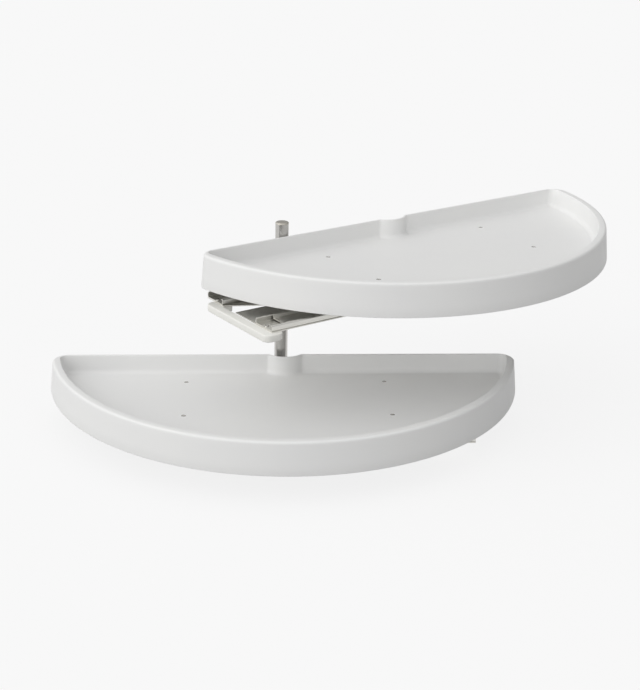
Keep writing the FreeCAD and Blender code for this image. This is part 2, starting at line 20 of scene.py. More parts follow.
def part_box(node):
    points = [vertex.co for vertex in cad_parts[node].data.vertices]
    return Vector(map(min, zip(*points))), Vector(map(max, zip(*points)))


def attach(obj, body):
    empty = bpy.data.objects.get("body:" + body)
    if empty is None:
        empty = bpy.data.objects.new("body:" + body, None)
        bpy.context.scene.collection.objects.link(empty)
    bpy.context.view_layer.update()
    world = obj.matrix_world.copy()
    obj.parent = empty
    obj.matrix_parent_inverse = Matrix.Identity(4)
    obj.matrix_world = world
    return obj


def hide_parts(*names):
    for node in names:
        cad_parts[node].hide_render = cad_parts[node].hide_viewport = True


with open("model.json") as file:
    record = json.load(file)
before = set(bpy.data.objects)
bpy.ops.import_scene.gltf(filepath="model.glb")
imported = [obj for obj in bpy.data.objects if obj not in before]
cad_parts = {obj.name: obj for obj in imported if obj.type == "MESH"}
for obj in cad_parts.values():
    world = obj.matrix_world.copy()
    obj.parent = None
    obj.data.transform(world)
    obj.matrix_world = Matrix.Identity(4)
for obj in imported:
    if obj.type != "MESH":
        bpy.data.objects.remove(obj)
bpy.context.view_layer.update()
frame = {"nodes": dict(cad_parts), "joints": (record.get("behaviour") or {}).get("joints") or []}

log = logging.getLogger("carousel")

Point = tuple[float, float]
Colour = tuple[float, float, float]

MM = 0.001
QUARTER = math.pi / 2


class Tier(Enum):
    """The two shelves of the carousel."""

    LOWER = "lower"
    UPPER = "upper"


class Member(Enum):
    """The three channels of a ball slide, from the outside in."""

    FIXED = "fixed_rail"
    MIDDLE = "middle_rail"
    TRAY = "tray_rail"


class Side(Enum):
    """The two slides of a tier."""

    BACK = "back"
    FRONT = "front"


# ---------------------------------------------------------------- node helpers for finishes


def principled(name: str) -> tuple[bpy.types.Material, bpy.types.NodeTree, bpy.types.Node]:
    """Makes a material with one Principled shader.

    Args:
        name: the material's name.

    Returns:
        The material, its node tree and its shader.
    """
    material = bpy.data.materials.new(name)
    material.use_nodes = True
    tree = material.node_tree
    return material, tree, tree.nodes["Principled BSDF"]


def object_place(tree: bpy.types.NodeTree, scale: Sequence[float], turn: float = 0.0) -> bpy.types.NodeSocket:
    """Object coordinates, stretched and turned about Z.

    Args:
        tree: the material's node tree.
        scale: stretch along X, Y and Z.
        turn: angle about Z in radians, so that a pattern can follow a swung tier.

    Returns:
        The socket that carries the coordinates.
    """
    place = tree.nodes.new("ShaderNodeTexCoord")
    mapping = tree.nodes.new("ShaderNodeMapping")
    mapping.vector_type = "TEXTURE"
    mapping.inputs["Rotation"].default_value = (0.0, 0.0, turn)
    mapping.inputs["Scale"].default_value = tuple(1.0 / s for s in scale)
    tree.links.new(place.outputs["Object"], mapping.inputs["Vector"])
    return mapping.outputs["Vector"]


def noise(tree: bpy.types.NodeTree, vector: bpy.types.NodeSocket, scale: float, detail: float) -> bpy.types.NodeSocket:
    """A noise value between 0 and 1.

    Args:
        tree: the material's node tree.
        vector: coordinates to read.
        scale: how many features lie in one unit of the coordinates.
        detail: octaves of finer noise.

    Returns:
        The noise's value socket.
    """
    texture = tree.nodes.new("ShaderNodeTexNoise")
    texture.inputs["Scale"].default_value = scale
    texture.inputs["Detail"].default_value = detail
    tree.links.new(vector, texture.inputs["Vector"])
    return texture.outputs["Fac"]


def spread(tree: bpy.types.NodeTree, value: bpy.types.NodeSocket, low: float, high: float) -> bpy.types.NodeSocket:
    """Maps the middle of a noise's values onto low to high.

    Args:
        tree: the material's node tree.
        value: the noise.
        low: result at the noise's usual least.
        high: result at the noise's usual most.

    Returns:
        The mapped socket.
    """
    usual_least, usual_most = 0.3, 0.7
    mapped = tree.nodes.new("ShaderNodeMapRange")
    mapped.inputs["From Min"].default_value = usual_least
    mapped.inputs["From Max"].default_value = usual_most
    mapped.inputs["To Min"].default_value = low
    mapped.inputs["To Max"].default_value = high
    tree.links.new(value, mapped.inputs["Value"])
    return mapped.outputs["Result"]


def blend_colours(
        tree: bpy.types.NodeTree, share: bpy.types.NodeSocket, one: Colour, two: Colour) -> bpy.types.NodeSocket:
    """Mixes two colours by a value.

    Args:
        tree: the material's node tree.
        share: 0 gives the first colour and 1 the second.
        one: first colour.
        two: second colour.

    Returns:
        The colour socket.
    """
    ramp = tree.nodes.new("ShaderNodeValToRGB")
    ramp.color_ramp.elements[0].color = (*one, 1.0)
    ramp.color_ramp.elements[1].color = (*two, 1.0)
    tree.links.new(share, ramp.inputs["Fac"])
    return ramp.outputs["Color"]


def bump(tree: bpy.types.NodeTree, height: bpy.types.NodeSocket, depth: float, shader: bpy.types.Node) -> None:
    """Raises a height pattern on a shader's surface.

    Args:
        tree: the material's node tree.
        height: the pattern.
        depth: how far its highest point stands out, in metres.
        shader: the shader that gets the new normal.
    """
    node = tree.nodes.new("ShaderNodeBump")
    node.inputs["Distance"].default_value = depth
    tree.links.new(height, node.inputs["Height"])
    tree.links.new(node.outputs["Normal"], shader.inputs["Normal"])


# ---------------------------------------------------------------- finishes


@dataclass(frozen=True)
class MouldedPolymer:
    """Satin moulded polymer: a fine even grain, and a slight cloudiness in tone and gloss."""

    name: str
    slot: str
    colour: Colour
    cloud: Colour
    roughness_low: float
    roughness_high: float
    grain: float = 0.0008
    grain_depth: float = 0.000012
    cloud_size: float = 0.12

    def material(self) -> bpy.types.Material:
        """Builds the material."""
        material, tree, shader = principled(self.name)
        plain = object_place(tree, (1.0, 1.0, 1.0))
        clouds = noise(tree, plain, 1.0 / self.cloud_size, 2.0)
        colour = blend_colours(tree, spread(tree, clouds, 0.0, 1.0), self.colour, self.cloud)
        tree.links.new(colour, shader.inputs["Base Color"])
        gloss = spread(tree, noise(tree, plain, 4.0 / self.cloud_size, 3.0), self.roughness_low, self.roughness_high)
        tree.links.new(gloss, shader.inputs["Roughness"])
        bump(tree, noise(tree, plain, 1.0 / self.grain, 2.0), self.grain_depth, shader)
        shader.inputs["Specular IOR Level"].default_value = 0.4
        return material


@dataclass(frozen=True)
class Metal:
    """What all metal finishes share: two tones in patches, and a gloss that varies."""

    name: str
    slot: str
    colour: Colour
    shade: Colour
    roughness_low: float
    roughness_high: float

    def metal(self) -> tuple[bpy.types.Material, bpy.types.NodeTree, bpy.types.Node]:
        """Starts the material, without its patterns."""
        material, tree, shader = principled(self.name)
        shader.inputs["Metallic"].default_value = 1.0
        return material, tree, shader

    def pattern(self, tree: bpy.types.NodeTree, shader: bpy.types.Node, tone: bpy.types.NodeSocket,
                gloss: bpy.types.NodeSocket, height: bpy.types.NodeSocket, depth: float) -> None:
        """Drives the metal's colour, roughness and relief.

        Args:
            tree: the material's node tree.
            shader: its shader.
            tone: pattern between the two tones.
            gloss: pattern between the two roughnesses.
            height: pattern of the relief.
            depth: depth of the relief.
        """
        colour = blend_colours(tree, spread(tree, tone, 0.0, 1.0), self.colour, self.shade)
        tree.links.new(colour, shader.inputs["Base Color"])
        tree.links.new(spread(tree, gloss, self.roughness_low, self.roughness_high), shader.inputs["Roughness"])
        bump(tree, height, depth, shader)


@dataclass(frozen=True)
class RolledPlate(Metal):
    """Bright plated sheet steel, with faint lines along the way it was rolled."""

    turn: float
    line_width: float = 0.0005
    line_length: float = 0.06
    line_depth: float = 0.000004

    def material(self) -> bpy.types.Material:
        """Builds the material."""
        material, tree, shader = self.metal()
        along = object_place(tree, (1.0 / self.line_length, 1.0 / self.line_width, 1.0 / self.line_width), self.turn)
        lines = noise(tree, along, 1.0, 3.0)
        patches = noise(tree, object_place(tree, (1.0, 1.0, 1.0)), 28.0, 2.0)
        self.pattern(tree, shader, patches, lines, lines, self.line_depth)
        return material


@dataclass(frozen=True)
class TurnedMetal(Metal):
    """Turned and plated metal, with fine rings round the pole's axis and along it."""

    ring_pitch: float = 0.0003
    ring_depth: float = 0.000005

    def material(self) -> bpy.types.Material:
        """Builds the material."""
        material, tree, shader = self.metal()
        plain = object_place(tree, (1.0, 1.0, 1.0))
        rings = tree.nodes.new("ShaderNodeTexWave")
        rings.wave_type = "RINGS"
        rings.rings_direction = "Z"
        rings.inputs["Scale"].default_value = 1.0 / (self.ring_pitch * 2.0 * math.pi)
        rings.inputs["Distortion"].default_value = 0.4
        tree.links.new(plain, rings.inputs["Vector"])
        patches = noise(tree, plain, 90.0, 3.0)
        self.pattern(tree, shader, patches, patches, rings.outputs["Fac"], self.ring_depth)
        return material


@dataclass(frozen=True)
class BrightFastener(Metal):
    """Small plated fasteners and balls: bright, with tiny marks from tumbling."""

    mark_size: float = 0.0009
    mark_depth: float = 0.00001

    def material(self) -> bpy.types.Material:
        """Builds the material."""
        material, tree, shader = self.metal()
        plain = object_place(tree, (1.0, 1.0, 1.0))
        marks = noise(tree, plain, 1.0 / self.mark_size, 2.0)
        self.pattern(tree, shader, marks, marks, marks, self.mark_depth)
        return material


Finish = MouldedPolymer | RolledPlate | TurnedMetal | BrightFastener

TRAY_POLYMER = MouldedPolymer(
    "tray_polymer", "tray_polymer", (0.80, 0.80, 0.79), (0.79, 0.79, 0.785), 0.40, 0.48)
BAR_POLYMER = MouldedPolymer(
    "bar_polymer", "bar_polymer", (0.80, 0.795, 0.755), (0.79, 0.785, 0.745), 0.36, 0.46)
NYLON = MouldedPolymer(
    "bush_nylon", "nylon", (0.82, 0.81, 0.76), (0.78, 0.77, 0.71), 0.34, 0.42)
POLE_CHROME = TurnedMetal(
    "pole_chrome", "pole_chrome", (0.54, 0.53, 0.51), (0.50, 0.49, 0.47), 0.10, 0.16, ring_depth=0.000001)
CAP_STEEL = TurnedMetal(
    "cap_steel", "cap_steel", (0.66, 0.63, 0.57), (0.58, 0.55, 0.49), 0.24, 0.34)
TURNED_STEEL = TurnedMetal(
    "turned_steel", "turned_steel", (0.62, 0.62, 0.61), (0.54, 0.54, 0.53), 0.22, 0.32)
FASTENER_STEEL = BrightFastener(
    "fastener_steel", "fastener_steel", (0.62, 0.61, 0.58), (0.50, 0.49, 0.46), 0.14, 0.26)


# ---------------------------------------------------------------- mesh helpers


def mesh_piece(name: str, shape: bmesh.types.BMesh, sharp_above: float = 32.0) -> bpy.types.Object:
    """Turns a bmesh into a linked object with smooth faces and sharp creases.

    Args:
        name: the object's name.
        shape: the bmesh, which is freed.
        sharp_above: edges that turn by more than this many degrees stay sharp.

    Returns:
        The new object, at the origin.
    """
    mesh = bpy.data.meshes.new(name)
    shape.to_mesh(mesh)
    shape.free()
    mesh.shade_smooth()
    mesh.set_sharp_from_angle(angle=math.radians(sharp_above))
    piece = bpy.data.objects.new(name, mesh)
    bpy.context.scene.collection.objects.link(piece)
    return piece


def bake_modifiers(piece: bpy.types.Object) -> None:
    """Applies a piece's modifiers to its mesh.

    Args:
        piece: the object, which keeps its name and gets the evaluated mesh.
    """
    bpy.context.view_layer.update()
    graph = bpy.context.evaluated_depsgraph_get()
    result = bpy.data.meshes.new_from_object(piece.evaluated_get(graph), depsgraph=graph)
    piece.modifiers.clear()
    old = piece.data
    piece.data = result
    bpy.data.meshes.remove(old)


def dress(piece: bpy.types.Object, finish: bpy.types.Material, body: str, nodes: Sequence[str]) -> None:
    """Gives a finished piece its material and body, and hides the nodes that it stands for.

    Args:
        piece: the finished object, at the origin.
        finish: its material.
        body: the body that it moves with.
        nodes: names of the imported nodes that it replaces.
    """
    piece.data.materials.clear()
    piece.data.materials.append(finish)
    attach(piece, body)
    if nodes:
        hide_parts(*nodes)
    log.info("%s: %d faces, rides on %s", piece.name, len(piece.data.polygons), body)


def bridge(shape: bmesh.types.BMesh, loops: Sequence[Sequence[bmesh.types.BMVert]]) -> None:
    """Joins closed loops of equal length, in order, with quads.

    Args:
        shape: the bmesh that holds the loops.
        loops: rings of vertices, matched by their place in the ring.
    """
    for one, two in zip(loops, loops[1:]):
        count = len(one)
        for i in range(count):
            j = (i + 1) % count
            shape.faces.new((one[i], two[i], two[j], one[j]))


def ring(shape: bmesh.types.BMesh, outline: Iterable[Point], z: float) -> list[bmesh.types.BMVert]:
    """Adds the corners of a plan outline at one height.

    Args:
        shape: the bmesh to add to.
        outline: (x, y) points.
        z: the height.

    Returns:
        The new vertices.
    """
    return [shape.verts.new((x, y, z)) for x, y in outline]


def circle(x: float, y: float, radius: float, steps: int) -> list[Point]:
    """Points of a circle, counter-clockwise.

    Args:
        x: centre.
        y: centre.
        radius: radius.
        steps: number of points.

    Returns:
        The points.
    """
    turns = [2 * math.pi * k / steps for k in range(steps)]
    return [(x + radius * math.cos(t), y + radius * math.sin(t)) for t in turns]


def arc(x: float, y: float, radius: float, start: float, end: float, steps: int) -> list[Point]:
    """Points of an arc, with both ends.

    Args:
        x: centre.
        y: centre.
        radius: radius.
        start: first angle.
        end: last angle.
        steps: number of chords.

    Returns:
        The points.
    """
    turns = [start + (end - start) * k / steps for k in range(steps + 1)]
    return [(x + radius * math.cos(t), y + radius * math.sin(t)) for t in turns]


def quarter_round(radius: float, steps: int) -> list[Point]:
    """A convex quarter round from a wall onto a top.

    Args:
        radius: radius of the rounding.
        steps: number of chords.

    Returns:
        Pairs of (distance in from the wall, distance below the top), wall first.
    """
    turns = [QUARTER * k / steps for k in range(steps + 1)]
    return [(radius * (1 - math.cos(t)), radius * (1 - math.sin(t))) for t in turns]


def solid_of_revolution(name: str, profile: Sequence[Point], steps: int) -> bpy.types.Object:
    """Turns a closed profile round the Z axis.

    Args:
        name: the object's name.
        profile: (radius, z) points of the closed section, none on the axis.
        steps: segments round the axis.

    Returns:
        The piece.
    """
    shape = bmesh.new()
    rings = []
    for radius, z in profile:
        rings.append(ring(shape, circle(0.0, 0.0, radius, steps), z))
    bridge(shape, rings + rings[:1])
    bmesh.ops.recalc_face_normals(shape, faces=shape.faces)
    return mesh_piece(name, shape)


# ---------------------------------------------------------------- where each tier stands


@dataclass(frozen=True)
class TierPlace:
    """How one tier stands at rest, read from the frame."""

    tier: Tier
    height: float
    swing: float
    slide: float
    creep: float

    @classmethod
    def read(cls, tier: Tier) -> "TierPlace":
        """Reads a tier's place from its joints and its tray's box.

        Args:
            tier: the tier.

        Returns:
            Its place.
        """
        joints = {joint["name"]: joint for joint in frame["joints"]}
        sliding = joints[f"{tier.value}_slide_out"]
        creeping = joints[f"{tier.value}_rail_creep"]
        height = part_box(f"{tier.value}_tray")[0].z
        swing = math.atan2(sliding["axis"][1], sliding["axis"][0])
        return cls(tier, height, swing, -sliding["range_m"][0], -creeping["range_m"][0])

    def carriage(self) -> Matrix:
        """Where pieces of the swinging carriage go."""
        return Matrix.Translation((0.0, 0.0, self.height)) @ Matrix.Rotation(self.swing, 4, "Z")

    def along(self, travel: float) -> Matrix:
        """Where pieces go that have slid along the rails.

        Args:
            travel: distance from the middle place.

        Returns:
            The placing matrix.
        """
        return self.carriage() @ Matrix.Translation((travel, 0.0, 0.0))

    def node(self, name: str) -> str:
        """A node's full name on this tier.

        Args:
            name: the node's name without its tier.

        Returns:
            The full name.
        """
        return f"{self.tier.value}_{name}"

    def finish_piece(self, piece: bpy.types.Object, travel: float, finish: bpy.types.Material,
                     slot: str, body: str, nodes: Sequence[str]) -> None:
        """Places a piece that was drawn in the tier's frame, and dresses it.

        Args:
            piece: the object.
            travel: how far it has slid along the rails.
            finish: its material.
            slot: not used.
            body: the body's name without its tier.
            nodes: names of the replaced nodes, without their tier.
        """
        piece.data.transform(self.along(travel))
        dress(piece, finish, self.node(body), [self.node(name) for name in nodes])


# ---------------------------------------------------------------- the moulded tray


@dataclass(frozen=True)
class PlanLine:
    """One closed line round the tray in plan: round front, two corners, straight back and bulge."""

    arc_radius: float
    back: float
    corner: float
    bulge: float
    root: float

    def inward(self, distance: float) -> "PlanLine":
        """The same line, moved into the tray.

        Args:
            distance: how far; negative moves it outwards.

        Returns:
            The moved line.
        """
        return PlanLine(self.arc_radius - distance, self.back - distance, self.corner - distance,
                        self.bulge + distance, self.root - distance)


@dataclass
class HalfMoonTray:
    """One moulded half-moon tray: floor, hollow curved wall, straight back wall, bulge and ribs."""

    place: TierPlace
    radius: float = 390.0 * MM
    skirt_flare: float = 5.4 * MM
    height: float = 53.2 * MM
    centre_back: float = 38.0 * MM
    edge: float = -13.5 * MM
    floor_top: float = 20.8 * MM
    floor_thickness: float = 3.5 * MM
    corner: float = 26.0 * MM
    rim_width: float = 13.0 * MM
    skin: float = 3.5 * MM
    draft: float = 2.5 * MM
    back_wall: float = 5.5 * MM
    outer_round: float = 3.9 * MM
    inner_round: float = 1.2 * MM
    floor_round: float = 8.0 * MM
    basket_corner: float = 12.0 * MM
    bulge_radius: float = 39.5 * MM
    bulge_depth: float = 12.0 * MM
    bulge_root: float = 9.0 * MM
    foot_round: float = 0.7 * MM
    rib_places: tuple[float, ...] = (-265.0 * MM, -95.0 * MM, 0.0, 95.0 * MM, 265.0 * MM)
    rib_depth: float = 9.0 * MM
    rib_thickness: float = 2.4 * MM
    screw_x: float = 164.4 * MM
    screw_rows: tuple[float, ...] = (-59.0 * MM, -195.0 * MM)
    screw_hole: float = 2.2 * MM
    screw_mouth: float = 4.3 * MM
    mouth_depth: float = 2.1 * MM
    arc_steps: int = 160
    corner_steps: int = 12
    back_steps: int = 14
    root_steps: int = 7
    bulge_steps: int = 22
    round_steps: int = 6
    hole_steps: int = 20

    def centre(self) -> float:
        """Y of the round front's centre."""
        return self.edge + self.centre_back

    def bulge_centre(self) -> float:
        """Y of the bulge's centre."""
        return self.edge - self.back_wall - self.bulge_depth + self.bulge_radius

    def plan(self, line: PlanLine) -> list[Point]:
        """Points of a plan line, counter-clockwise from the right end of its round front.

        Args:
            line: the line's radii and its straight back.

        Returns:
            The points, as many for each line, so that two lines can be joined.
        """
        centre, bulge_y = self.centre(), self.bulge_centre()
        corner_y = line.back - line.corner
        corner_x = math.sqrt((line.arc_radius - line.corner) ** 2 - (corner_y - centre) ** 2)
        meets = math.atan2(corner_y - centre, corner_x)
        root_y = line.back - line.root
        root_x = math.sqrt((line.bulge + line.root) ** 2 - (bulge_y - root_y) ** 2)
        leaves = math.atan2(bulge_y - root_y, -root_x)

        right = arc(corner_x, corner_y, line.corner, meets, QUARTER, self.corner_steps)
        back = [(corner_x + (root_x - corner_x) * k / self.back_steps, line.back) for k in range(1, self.back_steps)]
        root = arc(root_x, root_y, line.root, QUARTER, leaves, self.root_steps)
        half = right + back + root
        bulge = arc(0.0, bulge_y, line.bulge, leaves - math.pi, -leaves, self.bulge_steps)
        front = arc(0.0, centre, line.arc_radius, -math.pi - meets, meets, self.arc_steps)
        mirrored = [(-x, y) for x, y in reversed(half)]
        return half + bulge[1:-1] + mirrored + front[1:-1]

    def outside(self, z: float) -> PlanLine:
        """The outer line at a height, which is wider towards the skirt's foot.

        Args:
            z: height above the skirt's foot.

        Returns:
            The line.
        """
        radius = self.radius + self.skirt_flare * (1 - z / self.height)
        return PlanLine(radius, self.edge, self.corner, self.bulge_radius - self.back_wall, self.back_wall)

    def inside(self, z: float) -> PlanLine:
        """The basket's line at a height, which narrows towards the floor.

        Args:
            z: height above the skirt's foot.

        Returns:
            The line.
        """
        up = (z - self.floor_top) / (self.height - self.floor_top)
        radius = self.radius - self.rim_width - self.draft * (1 - up)
        back = self.edge - self.back_wall
        return PlanLine(radius, back, self.basket_corner, self.bulge_radius, self.bulge_root)

    def under(self, z: float) -> PlanLine:
        """The skirt's inner line at a height.

        Args:
            z: height above the skirt's foot.

        Returns:
            The line.
        """
        radius = self.outside(z).arc_radius - self.skin
        back = self.edge - self.back_wall
        return PlanLine(radius, back, self.corner - self.skin, self.bulge_radius, self.bulge_root)

    def sections(self) -> list[tuple[PlanLine, float]]:
        """All lines from the basket's floor over the rim to the underside, with their heights."""
        support = 1.5 * MM
        lines = [(self.inside(self.floor_top).inward(self.floor_round + support), self.floor_top)]
        for k in range(self.round_steps + 1):
            turn = QUARTER * k / self.round_steps
            z = self.floor_top + self.floor_round * (1 - math.cos(turn))
            lines.append((self.inside(z).inward(self.floor_round * (1 - math.sin(turn))), z))
        wall_top = self.height - self.inner_round
        lines.append((self.inside(wall_top - support), wall_top - support))
        for out, below in quarter_round(self.inner_round, self.round_steps):
            lines.append((self.inside(self.height).inward(-out), self.height - below))
        for inward, below in reversed(quarter_round(self.outer_round, self.round_steps)):
            z = self.height - below
            lines.append((self.outside(z).inward(inward), z))
        for share in (0.9, 0.66, 0.33):
            z = self.foot_round + (self.height - self.outer_round - self.foot_round) * share
            lines.append((self.outside(z), z))
        for inward, below in quarter_round(self.foot_round, 3):
            lines.append((self.outside(below).inward(inward), below))
        for inward, below in reversed(quarter_round(self.foot_round, 3)):
            lines.append((self.under(below).inward(-inward), below))
        floor_under = self.floor_top - self.floor_thickness
        lines.append((self.under(floor_under), floor_under))
        return lines

    def slot_loops(self, shape: bmesh.types.BMesh) -> list[list[bmesh.types.BMVert]]:
        """The hollow between the two skins of the curved wall, as further loops.

        The hollow runs along the front only. Elsewhere its loops lie flat under the floor.

        Args:
            shape: the bmesh.

        Returns:
            The loops over the hollow's top and back down to the floor's underside.
        """
        floor_under = self.floor_top - self.floor_thickness
        slot_top = self.height - self.skin
        ends = self.edge - self.corner
        foot = self.plan(self.under(floor_under))
        margin = 0.8 * MM
        inner_foot = PlanLine(self.inside(self.floor_top).arc_radius + self.skin, self.edge - self.back_wall - margin,
                              self.corner - self.skin, self.bulge_radius + margin, self.bulge_root - margin)
        inner_top = PlanLine(self.radius - self.rim_width + self.skin, inner_foot.back, inner_foot.corner,
                             inner_foot.bulge, inner_foot.root)
        heads = self.plan(self.under(slot_top))
        tops = self.plan(inner_top)
        feet = self.plan(inner_foot)
        loops = [[], [], []]
        for k, (x, y) in enumerate(foot):
            deep = y < ends
            inner_x, inner_y = feet[k]
            third = ((inner_x - x) / 3, (inner_y - y) / 3)
            loops[0].append((*heads[k], slot_top) if deep else (x + third[0], y + third[1], floor_under))
            loops[1].append((*tops[k], slot_top) if deep else (x + 2 * third[0], y + 2 * third[1], floor_under))
            loops[2].append((inner_x, inner_y, floor_under))
        return [[shape.verts.new(point) for point in loop] for loop in loops]

    def screw_places(self) -> list[Point]:
        """Where the tray is screwed down."""
        return [(side * self.screw_x, y) for side in (-1, 1) for y in self.screw_rows]

    def close_with_holes(self, shape: bmesh.types.BMesh, edge_loop: Sequence[bmesh.types.BMVert],
                         holes: Sequence[Sequence[bmesh.types.BMVert]]) -> None:
        """Fills a flat loop, leaving round holes open.

        Args:
            shape: the bmesh.
            edge_loop: the outer loop.
            holes: loops of the holes.
        """
        edges = []
        for loop in [edge_loop, *holes]:
            for one, two in zip(loop, [*loop[1:], loop[0]]):
                edges.append(shape.edges.get((one, two)) or shape.edges.new((one, two)))
        bmesh.ops.triangle_fill(shape, use_beauty=True, use_dissolve=False, edges=edges)

    def moulding(self) -> bpy.types.Object:
        """Builds the tray's shell, with its countersunk holes."""
        shape = bmesh.new()
        loops = [ring(shape, self.plan(line), z) for line, z in self.sections()]
        loops += self.slot_loops(shape)
        bridge(shape, loops)
        floor_under = self.floor_top - self.floor_thickness
        tops, feet = [], []
        for x, y in self.screw_places():
            heights = ((self.screw_mouth, self.floor_top), (self.screw_hole, self.floor_top - self.mouth_depth),
                       (self.screw_hole, floor_under))
            rings = [ring(shape, circle(x, y, radius, self.hole_steps), z) for radius, z in heights]
            bridge(shape, rings)
            tops.append(rings[0])
            feet.append(rings[-1])
        self.close_with_holes(shape, loops[0], tops)
        self.close_with_holes(shape, loops[-1], feet)
        bmesh.ops.recalc_face_normals(shape, faces=shape.faces)
        return mesh_piece(self.place.node("tray_moulding"), shape, 40.0)

    def rib(self, x: float) -> bpy.types.Object:
        """One stiffening rib under the floor, drawn into the floor a little so that both can be joined.

        Args:
            x: the rib's middle.

        Returns:
            The rib as an object of its own.
        """
        inner = self.inside(self.floor_top).arc_radius
        front = self.centre() - math.sqrt(inner ** 2 - x ** 2)
        bulge_front = self.bulge_centre() - self.bulge_radius
        back = bulge_front if abs(x) < self.bulge_radius else self.edge - self.back_wall
        into = 0.6 * MM
        floor_under = self.floor_top - self.floor_thickness
        shape = bmesh.new()
        bmesh.ops.create_cube(shape, size=1.0)
        low, high = floor_under - self.rib_depth, floor_under + into
        size = (self.rib_thickness, back + into - front, high - low)
        middle = (x, (front + back + into) / 2, (low + high) / 2)
        bmesh.ops.transform(shape, matrix=Matrix.Translation(middle) @ Matrix.Diagonal((*size, 1.0)), verts=shape.verts)
        lower = [e for e in shape.edges if all(v.co.z < middle[2] for v in e.verts)]
        bmesh.ops.bevel(shape, geom=lower, offset=self.rib_thickness / 4, segments=2, affect="EDGES", profile=0.5)
        return mesh_piece("rib", shape)

    def build(self, finish: bpy.types.Material) -> None:
        """Builds and places the tray.

        Args:
            finish: the polymer.
        """
        tray = self.moulding()
        ribs = [self.rib(x) for x in self.rib_places]
        for one in ribs:
            join = tray.modifiers.new("rib", "BOOLEAN")
            join.operation = "UNION"
            join.solver = "EXACT"
            join.object = one
        bake_modifiers(tray)
        for one in ribs:
            bpy.data.objects.remove(one)
        tray.data.set_sharp_from_angle(angle=math.radians(40.0))
        self.place.finish_piece(tray, self.place.slide, finish, TRAY_POLYMER.slot, "tray_unit", ["tray"])


# ---------------------------------------------------------------- ball slides


@dataclass(frozen=True)
class SheetSection:
    """The section of a rolled channel: a sheet that follows a bent centre line, with rounded lips."""

    centre_line: tuple[Point, ...]
    bends: tuple[float, ...]
    thickness: float
    bend_steps: int = 5
    lip_steps: int = 4

    def path(self) -> list[tuple[Point, Point]]:
        """Points of the centre line with their normals, bends rounded."""
        points = [Vector(p) for p in self.centre_line]
        rounded: list[Vector] = [points[0]]
        for before, corner, after, radius in zip(points, points[1:], points[2:], self.bends):
            into, out = (corner - before).normalized(), (after - corner).normalized()
            turn = into.angle(out)
            reach = radius * math.tan(turn / 2)
            start, end = corner - into * reach, corner + out * reach
            for k in range(self.bend_steps + 1):
                share = k / self.bend_steps
                bow = start.lerp(corner, share).lerp(corner.lerp(end, share), share)
                rounded.append(bow)
        rounded.append(points[-1])
        result = []
        for k, point in enumerate(rounded):
            before = rounded[max(k - 1, 0)]
            after = rounded[min(k + 1, len(rounded) - 1)]
            way = (after - before).normalized()
            result.append(((point.x, point.y), (-way.y, way.x)))
        return result

    def outline(self) -> list[Point]:
        """The closed outline of the sheet."""
        half = self.thickness / 2
        path = self.path()
        left = [(x + nx * half, y + ny * half) for (x, y), (nx, ny) in path]
        right = [(x - nx * half, y - ny * half) for (x, y), (nx, ny) in path]

        def lip(end: tuple[Point, Point], start_turn: float) -> list[Point]:
            """Rounds one lip, from start_turn on by half a turn clockwise."""
            (x, y), _ = end
            turns = [start_turn - math.pi * k / self.lip_steps for k in range(1, self.lip_steps)]
            return [(x + half * math.cos(t), y + half * math.sin(t)) for t in turns]

        far, near = path[-1], path[0]
        far_turn = math.atan2(far[1][1], far[1][0])
        near_turn = math.atan2(-near[1][1], -near[1][0])
        return left + lip(far, far_turn) + right[::-1] + lip(near, near_turn)


